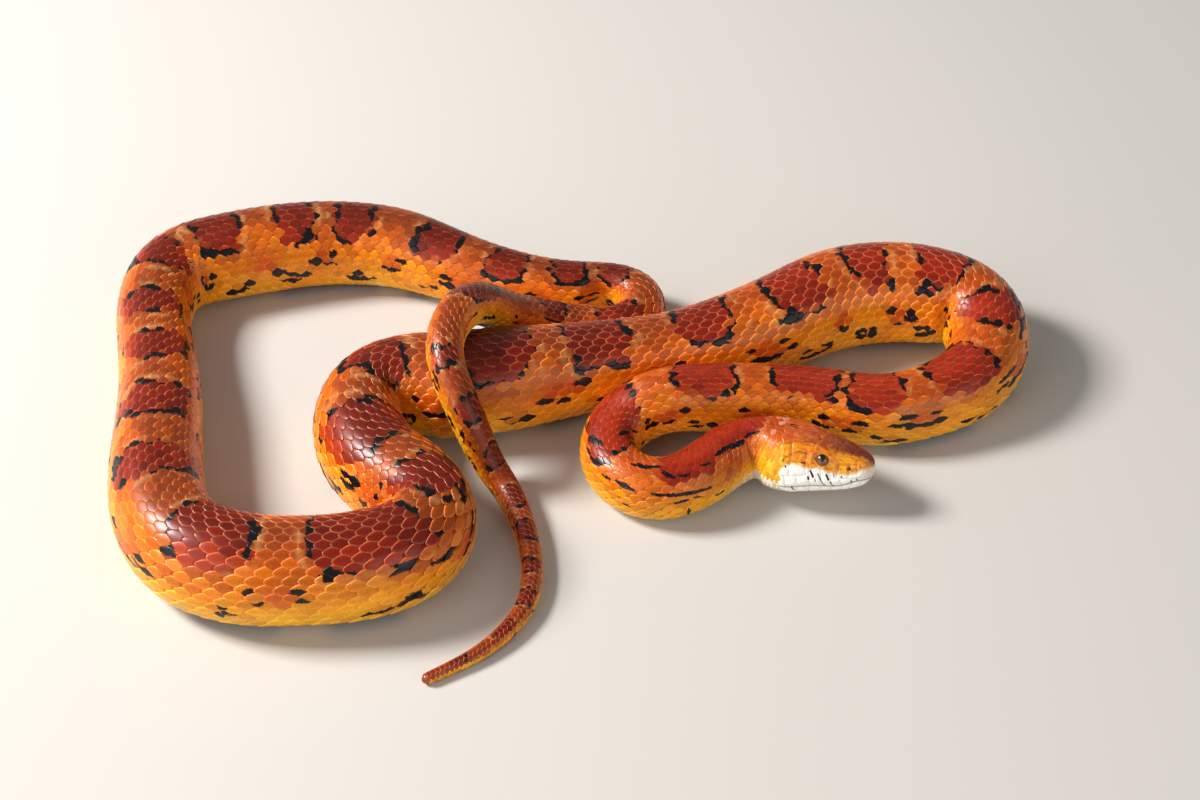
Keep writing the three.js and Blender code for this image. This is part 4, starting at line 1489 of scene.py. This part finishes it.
    def _paint(self, spots: HeadSpots) -> Array:
        """Colour of the head under its black marks."""
        back, up, down = spots.places[:, 0], spots.places[:, 2], np.abs(spots.share)
        clouds, speckle = spots.clouds, spots.speckle
        palette = self.palette
        crown = blended(palette.crown, back + 7 * (clouds - 0.5))
        cheek = blended(palette.cheek, back + 4 * (clouds - 0.5))
        edge = np.interp(back, *self.CROWN_EDGE) + 0.07 * (clouds - 0.5)
        paint = crown + (cheek - crown) * smoothstep(down, edge - 0.05, edge + 0.07)[:, None]
        umber = smoothstep(speckle, 0.5, 0.9) * falling(back, 14, 26)
        dust = smoothstep(1 - speckle, 0.5, 0.9) * falling(down, 0.16, 0.24)
        under = np.interp(back, *self.WHITE_EDGE) - up + 0.8 * (clouds - 0.5)
        below = smoothstep(under, -0.3, 0.7)
        snout = falling(back, 0.5, 4) * falling(up, 0.5, 2) * smoothstep(up, -3.2, -1)
        for colour, amount in (
            (palette.rust, 0.5 * smoothstep(speckle, 0.45, 0.8) * falling(down, 0.42, 0.5)),
            (palette.umber, 0.5 * umber * falling(down, 0.2, 0.3)),
            (palette.crown_dust, 0.34 * dust * smoothstep(back, 8, 13)),
            (palette.cheek_dust, 0.5 * smoothstep(1 - speckle, 0.55, 0.8) * smoothstep(down, 0.26, 0.34)),
            (palette.straw, 0.7 * smoothstep(under, -0.9, 0.1)),
            (palette.white, below),
            (palette.snout, 0.5 * snout),
        ):
            paint = tinted(paint, colour, amount)
        # Painted shade along the seams between the shields and in the crease of the mouth
        seam_shade = 0.32 * hump(spots.seam, 0.2) * (1 - 0.45 * below)
        paint = paint * (1 - np.maximum(seam_shade, 0.75 * hump(spots.mouth, 0.22)))[:, None]
        for stroke in self.LINES:
            apart = self._distance(spots.places, self._laid(stroke.line, Zone.SIDE, 0.06))
            near = hump(apart, stroke.half) * (0.35 + 0.65 * smoothstep(clouds, 0.2, 0.6))
            paint = tinted(paint, palette.line, 0.75 * near)
        return paint

    def colours(self, spots: HeadSpots, coat: Values) -> Values:
        """Colours of the head, running over into the coat behind it.

        Args:
            spots: Points of the head.
            coat: Paint and ink of the coat at the same points.

        Returns:
            Paint and ink.
        """
        places = spots.places
        paint = self._paint(spots)
        ink = np.zeros(len(places))
        strokes = [(stroke, Zone.SIDE) for stroke in self.BARS] + [(self.CROWN_STREAK, Zone.CROWN)]
        for stroke, zone in strokes:
            apart = self._distance(places, self._laid(stroke.line, zone, 0.1))
            ink = np.maximum(ink, smoothstep(stroke.half - apart, -0.14, 0.14))
        for side in Side:
            apart = np.linalg.norm(places - self.nostril_place * np.array([1, side.value, 1]), axis=1)
            paint = tinted(paint, self.palette.nostril, 0.8 * falling(apart, 0.5, 1.1))
            ink = np.maximum(ink, 0.9 * falling(apart, 0.2, 0.5))
        over = smoothstep(places[:, 0] - self.rear(spots.share), -0.2, 0.6)
        paint = paint + (coat["paint"] - paint) * over[:, None]
        return {"paint": paint, "ink": ink + (coat["ink"] - ink) * over}


Corner = tuple[int, Pair]
Face = tuple[Corner, ...]


@dataclass
class Skin:
    """The one skin of the animal, fine on the head and coarser under the scales."""

    hide: Hide
    markings: Markings
    form: HeadForm
    head_columns: int = 288
    body_columns: int = 48
    head_end: float = 36.0
    stitch_at: float = 50.0
    tip_depth: float = 0.14
    # Share of the map along it that the fine rings take
    head_span: float = 0.5

    # Rings that round the snout, and those that round the end of the tail by distance before it
    SNOUT_RINGS = (0.02, 0.1, 0.2, 0.34, 0.5, 0.7)
    TIP_RINGS = (2.6, 2.1, 1.8, 1.55, 1.3, 1.05, 0.8, 0.58, 0.4, 0.24, 0.12, 0.04, 0.0)

    def build(self) -> Thing:
        """Makes the skin mesh."""
        end = self.hide.spine.length
        front = np.concatenate([self.SNOUT_RINGS, np.arange(0.92, self.head_end, 0.22),
                                np.arange(self.head_end, self.stitch_at + 0.1, 1.0)])
        back = np.concatenate([np.arange(self.stitch_at + 1.5, end - 3.2, 1.5),
                               end - np.array(self.TIP_RINGS)])
        many, few = self.head_columns, self.body_columns
        at = np.concatenate([np.repeat(front, many), np.repeat(back, few), [0.0, end]])
        share = np.concatenate([np.tile(np.arange(many) * 2 / many - 1, len(front)),
                                np.tile(np.arange(few) * 2 / few - 1, len(back)), [0.0, 0.0]])
        points, outward, _ = self.hide.patch(at, share)
        bare = smoothstep(at, end - 2.4, end - 1.3)
        points = points - outward * (self.form.depth * (1 - bare) + self.tip_depth * bare)[:, None]
        values = self.markings.read(Spots(at, share, at, share, np.full(len(at), 0.5)))
        palette = self.markings.palette
        values["paint"] = tinted(values["paint"], palette.between_scales, 0.35 * (1 - bare))
        values["paint"] = tinted(values["paint"], palette.tail_end, 0.85 * bare)
        head = np.flatnonzero(at < self.form.end)
        coat = {key: value[head] for key, value in values.items()}
        points[head], painted = self._shape_head(at[head], share[head], outward[head], coat)
        for key, value in painted.items():
            values[key][head] = value
        points[:, 2] = np.maximum(points[:, 2], 0.0)
        middle, _, _ = self.hide.spine.place(at[-1:])
        points[-2:] = [points[:many].mean(axis=0), middle[0]]
        faces = self._faces(len(front), len(back))
        corners = np.array([number for face in faces for number, _ in face])
        maps = np.array([place for face in faces for _, place in face])
        parts = MeshParts()
        parts.add(points, corners, np.array([len(face) for face in faces]), maps, values)
        thing = parts.make("snake_skin")
        thing.data.materials.append(SkinFinish().material())
        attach(thing, "root")
        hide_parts(*FLESH_NODES)
        return thing

    def _shape_head(self, at: Array, share: Array, outward: Array, coat: Values) -> tuple[Array, Values]:
        """Points of the head in the frame of the model, and its paint and ink over the coat's."""
        spine = self.hide.spine
        _, left, up = spine.place(at)
        ahead = np.cross(left, up)
        places = np.column_stack([at, self.hide.local(at, share)])
        facing = np.stack([(outward * axis).sum(1) for axis in (ahead, left, up)], axis=1)
        shaped, seam, mouth = self.form.shape(places, share, facing)
        clouds = Lattice(Draw.HEAD_CLOUDS, 1.6, 0.06).read(at, share)
        speckle = Lattice(Draw.HEAD_SPECKLE, 0.7, 0.024).read(at, share)
        painted = self.form.colours(HeadSpots(places, share, seam, mouth, clouds, speckle), coat)
        middle, left, up = spine.place(shaped[:, 0])
        return middle + left * shaped[:, 1:2] + up * shaped[:, 2:], painted

    def _faces(self, front: int, back: int) -> list[Face]:
        """Faces between the fine rings in front and the coarse ones behind, stitched and closed."""
        many, few = self.head_columns, self.body_columns
        first_body = front * many
        nose = first_body + back * few
        front_u = self.head_span * np.linspace(0.02, 1, front)
        back_u = self.head_span + 0.01 + (0.98 - self.head_span) * np.linspace(0.01, 1, back)

        def fine(row: int, column: int) -> Corner:
            """Corner of the fine grid."""
            return row * many + column % many, (front_u[row], 0.01 + 0.98 * column / many)

        def coarse(row: int, column: int) -> Corner:
            """Corner of the coarse grid."""
            return first_body + row * few + column % few, (back_u[row], 0.01 + 0.98 * column / few)

        def grid(corner: Callable[[int, int], Corner], rows: int, columns: int) -> list[Face]:
            """Faces between neighbouring rings."""
            return [(corner(i, k), corner(i + 1, k), corner(i + 1, k + 1), corner(i, k + 1))
                    for i in range(rows - 1) for k in range(columns)]

        def tip(low: Corner, high: Corner, number: int, u: float) -> Corner:
            """Corner at the closed end of a ring."""
            return number, (u, (low[1][1] + high[1][1]) / 2)

        faces = grid(fine, front, many)
        ratio = many // few
        half = ratio // 2
        for column in range(few):
            low, high = coarse(0, column), coarse(0, column + 1)
            edge = [fine(front - 1, column * ratio + k) for k in range(ratio + 1)]
            faces += [(edge[k], low if k < half else high, edge[k + 1]) for k in range(ratio)]
            faces.append((edge[half], low, high))
        faces += grid(coarse, back, few)
        for column in range(many):
            low, high = fine(0, column), fine(0, column + 1)
            faces.append((low, high, tip(low, high, nose, 0.002)))
        for column in range(few):
            low, high = coarse(back - 1, column), coarse(back - 1, column + 1)
            faces.append((low, tip(low, high, nose + 1, 0.998), high))
        return faces


@dataclass
class Coat:
    """The scales of back, flanks and belly, in bands of rows."""

    hide: Hide
    rows: Rows
    markings: Markings
    # Name of each band with its first and last row
    bands: tuple[tuple[str, int, int], ...] = (
        ("scales_back", 0, 2), ("scales_upper_flank", 3, 5), ("scales_flank", 6, 8),
        ("scales_lower_flank", 9, 11), ("scales_beside_belly", 12, 13),
    )
    body_plate: Plate = field(default_factory=lambda: Plate(
        (-0.85, -0.4, 0.0, 0.22, 0.42, 0.53, 0.562), (-1, -0.72, 0, 0.72, 1),
        (0.46, 0.63, 0.75, 0.575, 0.345, 0.195, 0.1)))
    scute_plate: Plate = field(default_factory=lambda: Plate(
        (-0.7, -0.2, 0.2, 0.45, 0.54), tuple(np.linspace(-1, 1, 13)), (0.5, 0.5, 0.495, 0.485, 0.46)))
    throat_lanes: int = 9
    throat_pitch: float = 1.9
    throat_end: float = 34.4

    # Cells across the map, strips of a band, rows of scutes, and how much of a cell is filled
    BAND_CELLS = 58
    BAND_STRIPS = 6
    TRUNK_CELLS = 16
    TAIL_CELLS = 32
    SCUTE_ROWS = 20
    THROAT_CELLS = 10
    FILLED = 0.94
    # Places across a scute for its checks, where they start behind the head, the first scute, and
    # how much lower on the girth the ground colour of a scute is read
    CHECK_PLACES = 6
    CHECKS_FROM = (98, 101)
    FIRST_SCUTE = 33
    LOWER = 0.06

    def build(self) -> list[Thing]:
        """Makes every band and the belly."""
        finish = ScaleFinish().material()
        made = []
        for name, low, high in self.bands:
            thing = self._band(name, [row for row in range(-high, high + 1) if low <= abs(row)])
            thing.data.materials.append(finish)
            made.append(thing)
        pale = BellyFinish().material()
        for thing in (self._belly(), self._throat()):
            thing.data.materials.append(pale)
            made.append(thing)
        for thing in made:
            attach(thing, "root")
        return made

    def _start(self, row: int) -> float:
        """Where the coat starts on a row, its first scales rooted under the shields of the head."""
        share = np.interp(HEAD_REAR[1][0], self.rows.at, self.rows.middle[abs(row)])
        return float(HeadForm.rear(share)) - 0.4

    def _cells(self, column: Array, row: Array | float, wide: float, high: float) -> tuple[Array, Pair]:
        """Corners of cells on the map by column and row, and the size of the patch in each."""
        corners = np.stack(np.broadcast_arrays(column * wide, row * high), axis=1)
        return corners, (self.FILLED * wide, self.FILLED * high)

    def _band(self, name: str, numbers: list[int]) -> Thing:
        """One band of rows."""
        parts = MeshParts()
        for order, row in enumerate(numbers):
            at, share, width, index = self.rows.places(row, self._start(row), self.hide.spine.length - 1.2)
            if len(at) == 0:
                continue
            chance = np.random.default_rng(Draw.ROWS.start(row)).uniform(0, 1, len(at))
            strip, column = np.divmod(index - index[0], self.BAND_CELLS)
            cells = self._cells(column + 0.5 * (row % 2), strip * len(numbers) + order,
                                1 / (self.BAND_CELLS + 0.5), 1 / (self.BAND_STRIPS * len(numbers)))
            lot = Lot(at, share, self.rows.pitch_at(at), width, *cells)
            self.body_plate.set_out(parts, self.hide, lot, self._pattern(at, share, chance), Lie())
        return parts.make(name)

    def _pattern(self, at: Array, share: Array, chance: Array) -> Pattern:
        """Function that colours the points of given scales."""
        def pattern(plate: Array, point_at: Array, point_share: Array) -> Values:
            """Colour, black and strength of the painted highlight on the rim of each point."""
            out = self.markings.read(Spots(at[plate], share[plate], point_at, point_share, chance[plate]))
            out["rim"] = (0.4 + 0.6 * smoothstep(at[plate], 40, 120)) * (0.75 + 0.25 * chance[plate])
            return out
        return pattern

    def _checks(self, number: Array, blocks: Array) -> Pattern:
        """Function that colours the points of numbered scutes: cream with black checks."""
        ground = self.markings.palette.ground
        dorsal = self.rows.DORSAL_SHARE

        def pattern(plate: Array, point_at: Array, point_share: Array) -> Values:
            """Colour and black of each point."""
            across = np.clip((point_share - dorsal) / (2 - 2 * dorsal), 0, 1)
            place = np.minimum((across * self.CHECK_PLACES).astype(int), self.CHECK_PLACES - 1)
            ink = blocks[number[plate] % len(blocks), place] * smoothstep(point_at, *self.CHECKS_FROM)
            return {"paint": blended(ground, 1 - np.abs(1 - point_share) + self.LOWER), "ink": ink}
        return pattern

    def _plain(self, plate: Array, point_at: Array, point_share: Array) -> Values:
        """Plain cream, for the throat."""
        paint = blended(((0, self.markings.palette.cream),), point_at)
        return {"paint": paint, "ink": np.zeros(len(plate))}

    def _belly(self) -> Thing:
        """Wide scutes under the trunk and paired ones under the tail."""
        parts = MeshParts()
        rows = self.rows
        draw = np.random.default_rng(Draw.CHECKS.start())
        number = np.arange(math.ceil(np.interp(self.FIRST_SCUTE, rows.at, rows.count)),
                           math.floor(rows.count[-1]))
        at = np.interp(number, rows.count, rows.at)
        at = at[at < self.hide.spine.length - 1.5]
        trunk, tail = at[at <= TRUNK_END], at[at > TRUNK_END]
        half = 1 - rows.DORSAL_SHARE + 0.012
        blocks = self._blocks(len(at), draw)
        lie = Lie(dome=0.0)
        place = np.arange(len(trunk))
        cells = self._cells(place % self.TRUNK_CELLS, place // self.TRUNK_CELLS,
                            1 / self.TRUNK_CELLS, 1 / self.SCUTE_ROWS)
        lot = Lot(trunk, np.ones(len(trunk)), rows.pitch_at(trunk), np.full(len(trunk), 2 * half), *cells)
        self.scute_plate.set_out(parts, self.hide, lot, self._checks(place, blocks), lie)
        place = np.arange(len(tail))
        pitch = rows.pitch_at(tail)
        for side, first_row in ((-1, 15), (1, 17)):
            cells = self._cells(place % self.TAIL_CELLS, first_row + place // self.TAIL_CELLS,
                                1 / self.TAIL_CELLS, 1 / self.SCUTE_ROWS)
            lot = Lot(tail + 0.25 * side * pitch, np.full(len(tail), 1 - side * half / 2), pitch,
                      np.full(len(tail), half * 0.72), *cells)
            pattern = self._checks(place + len(trunk), blocks)
            self.body_plate.set_out(parts, self.hide, lot, pattern, lie)
        return parts.make("scutes_belly")

    def _throat(self) -> Thing:
        """Small scales of the throat, between the chin shields and the first scute."""
        parts = MeshParts()
        pitch = self.throat_pitch
        spacing = 2 * (1 - self.rows.DORSAL_SHARE) / self.throat_lanes
        for lane in range(self.throat_lanes):
            share = self.rows.DORSAL_SHARE + (lane + 0.5) * spacing
            start = float(HeadForm.rear(share)) - 0.5 + 0.5 * pitch * (lane % 2)
            at = np.arange(start, self.throat_end, pitch)
            same = np.ones(len(at))
            cells = self._cells(np.arange(len(at)), lane, 1 / self.THROAT_CELLS, 1 / self.throat_lanes)
            lot = Lot(at, same * share, same * pitch, same * spacing, *cells)
            self.body_plate.set_out(parts, self.hide, lot, self._plain, Lie())
        return parts.make("scales_throat")

    def _blocks(self, count: int, draw: np.random.Generator) -> Array:
        """Which places across each scute are black: squarish checks two or three scutes long."""
        blocks = np.zeros((count, self.CHECK_PLACES))
        row = 0
        turn = 0
        while row < count:
            long = int(draw.integers(2, 4))
            for place in range(self.CHECK_PLACES):
                dark = (place // 2 + turn) % 2 == 0
                if dark and draw.uniform() < 0.8:
                    blocks[row:row + long, place] = 1
            row += long
            turn += int(draw.integers(1, 3))
        return blocks


def deselect() -> None:
    """Leaves nothing selected, with every object in object mode."""
    if bpy.context.object and bpy.context.object.mode != "OBJECT":
        bpy.ops.object.mode_set(mode="OBJECT")
    bpy.ops.object.select_all(action="DESELECT")


@dataclass
class Studio:
    """Plain pale floor, soft light and the camera at the photo's angle, in metres."""

    target: Trio = (0.010, 0.0227, 0.0)
    distance: float = 0.8
    elevation: float = math.radians(42)
    lens: float = 73.5
    sensor: float = 36
    # Name of each light, its place, the side of its square and its power
    lights: tuple[tuple[str, Trio, float, float], ...] = (
        ("key_light", (-0.98, 0.14, 0.88), 0.36, 26.0),
        ("fill_light", (-1.0, -0.9, 0.65), 1.2, 6.5),
        ("front_light", (0.75, -0.85, 0.45), 0.8, 3.0),
    )
    room: str = "#E9EBEE"
    room_light: float = 0.26
    floor_colour: str = "#CFC9C1"
    floor_size: float = 6

    def build(self) -> None:
        """Makes floor, lights, world and camera."""
        self._camera()
        self._floor()
        for name, place, size, power in self.lights:
            self._light(name, place, size, power)
        world = bpy.data.worlds.new("pale_room")
        world.use_nodes = True
        background = world.node_tree.nodes["Background"]
        background.inputs[0].default_value = linear(self.room)
        background.inputs[1].default_value = self.room_light
        bpy.context.scene.world = world
        bpy.context.scene.view_settings.view_transform = "Standard"

    def _camera(self) -> None:
        """Camera looking down at the animal from in front."""
        data = bpy.data.cameras.new("camera")
        data.lens = self.lens
        data.sensor_width = self.sensor
        camera = bpy.data.objects.new("camera", data)
        back = Vector((0, -math.cos(self.elevation), math.sin(self.elevation)))
        camera.location = Vector(self.target) + back * self.distance
        camera.rotation_euler = (math.pi / 2 - self.elevation, 0, 0)
        bpy.context.scene.collection.objects.link(camera)
        bpy.context.scene.camera = camera

    @staticmethod
    def _light(name: str, place: Trio, size: float, power: float) -> None:
        """Square soft light aimed at the middle of the animal."""
        data = bpy.data.lights.new(name, "AREA")
        data.size = size
        data.energy = power
        lamp = bpy.data.objects.new(name, data)
        lamp.location = place
        lamp.rotation_euler = (-Vector(place)).to_track_quat("-Z", "Y").to_euler()
        bpy.context.scene.collection.objects.link(lamp)

    def _floor(self) -> None:
        """Wide pale floor just under the animal, matt so that it shows only the soft shadows."""
        deselect()
        bpy.ops.mesh.primitive_plane_add(size=self.floor_size, location=(0, 0, 0))
        floor = bpy.context.object
        floor.name = "floor"
        nodes = Nodes("pale_matt_floor")
        nodes.shade(Base_Color=self.floor_colour, Roughness=0.9)
        floor.data.materials.append(nodes.material)


@dataclass
class Eyes:
    """Two round eyes under clear spectacles."""

    hide: Hide
    segments: int = 48
    rings: int = 36

    def build(self) -> list[Thing]:
        """Makes both eyes."""
        finish = EyeFinish().material()
        made = []
        for side in Side:
            name = side.name.lower()
            eye = self._ball(f"eyeball_{name}", side)
            eye.data.materials.append(finish)
            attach(eye, "root")
            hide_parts(f"eye_{name}")
            made.append(eye)
        return made

    def _ball(self, name: str, side: Side) -> Thing:
        """One eyeball with its pole to the pupil, and the angle from it stored on each point."""
        back, out, up = EYE_PLACE
        middle, left, upward = (rows[0] for rows in self.hide.spine.place(np.array([back])))
        ahead = np.cross(left, upward)
        centre = Vector((middle + left * out * side.value + upward * up) * MM)
        looking = HeadForm.direction(side, LOOK_UP_TURN, LOOK_FRONT_TURN)
        axis = Vector(ahead * looking[0] + left * looking[1] + upward * looking[2])
        deselect()
        bpy.ops.mesh.primitive_uv_sphere_add(
            segments=self.segments, ring_count=self.rings, radius=EYE_RADIUS * MM, location=tuple(centre),
            rotation=axis.to_track_quat("Z", "Y").to_euler())
        eye = bpy.context.object
        eye.name = name
        bpy.ops.object.transform_apply(location=True, rotation=True, scale=True)
        bpy.ops.object.shade_smooth()
        angles = [axis.angle(vertex.co - centre) for vertex in eye.data.vertices]
        eye.data.attributes.new("angle", "FLOAT", "POINT").data.foreach_set("value", angles)
        return eye


def main() -> None:
    """Builds the whole scene in order and reports each piece."""
    logging.basicConfig(level=logging.INFO, format="%(message)s")
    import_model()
    spine = Spine()
    LOG.info("middle line: %.1f mm", spine.length)
    hide = Hide(spine)
    markings = Markings()
    Studio().build()
    pieces = [Skin(hide, markings, HeadForm(hide)).build()]
    pieces += Coat(hide, Rows(spine.length), markings).build()
    pieces += Eyes(hide).build()
    for piece in pieces:
        LOG.info("%s: %d faces", piece.name, len(piece.data.polygons))


if __name__ == "__main__":
    main()
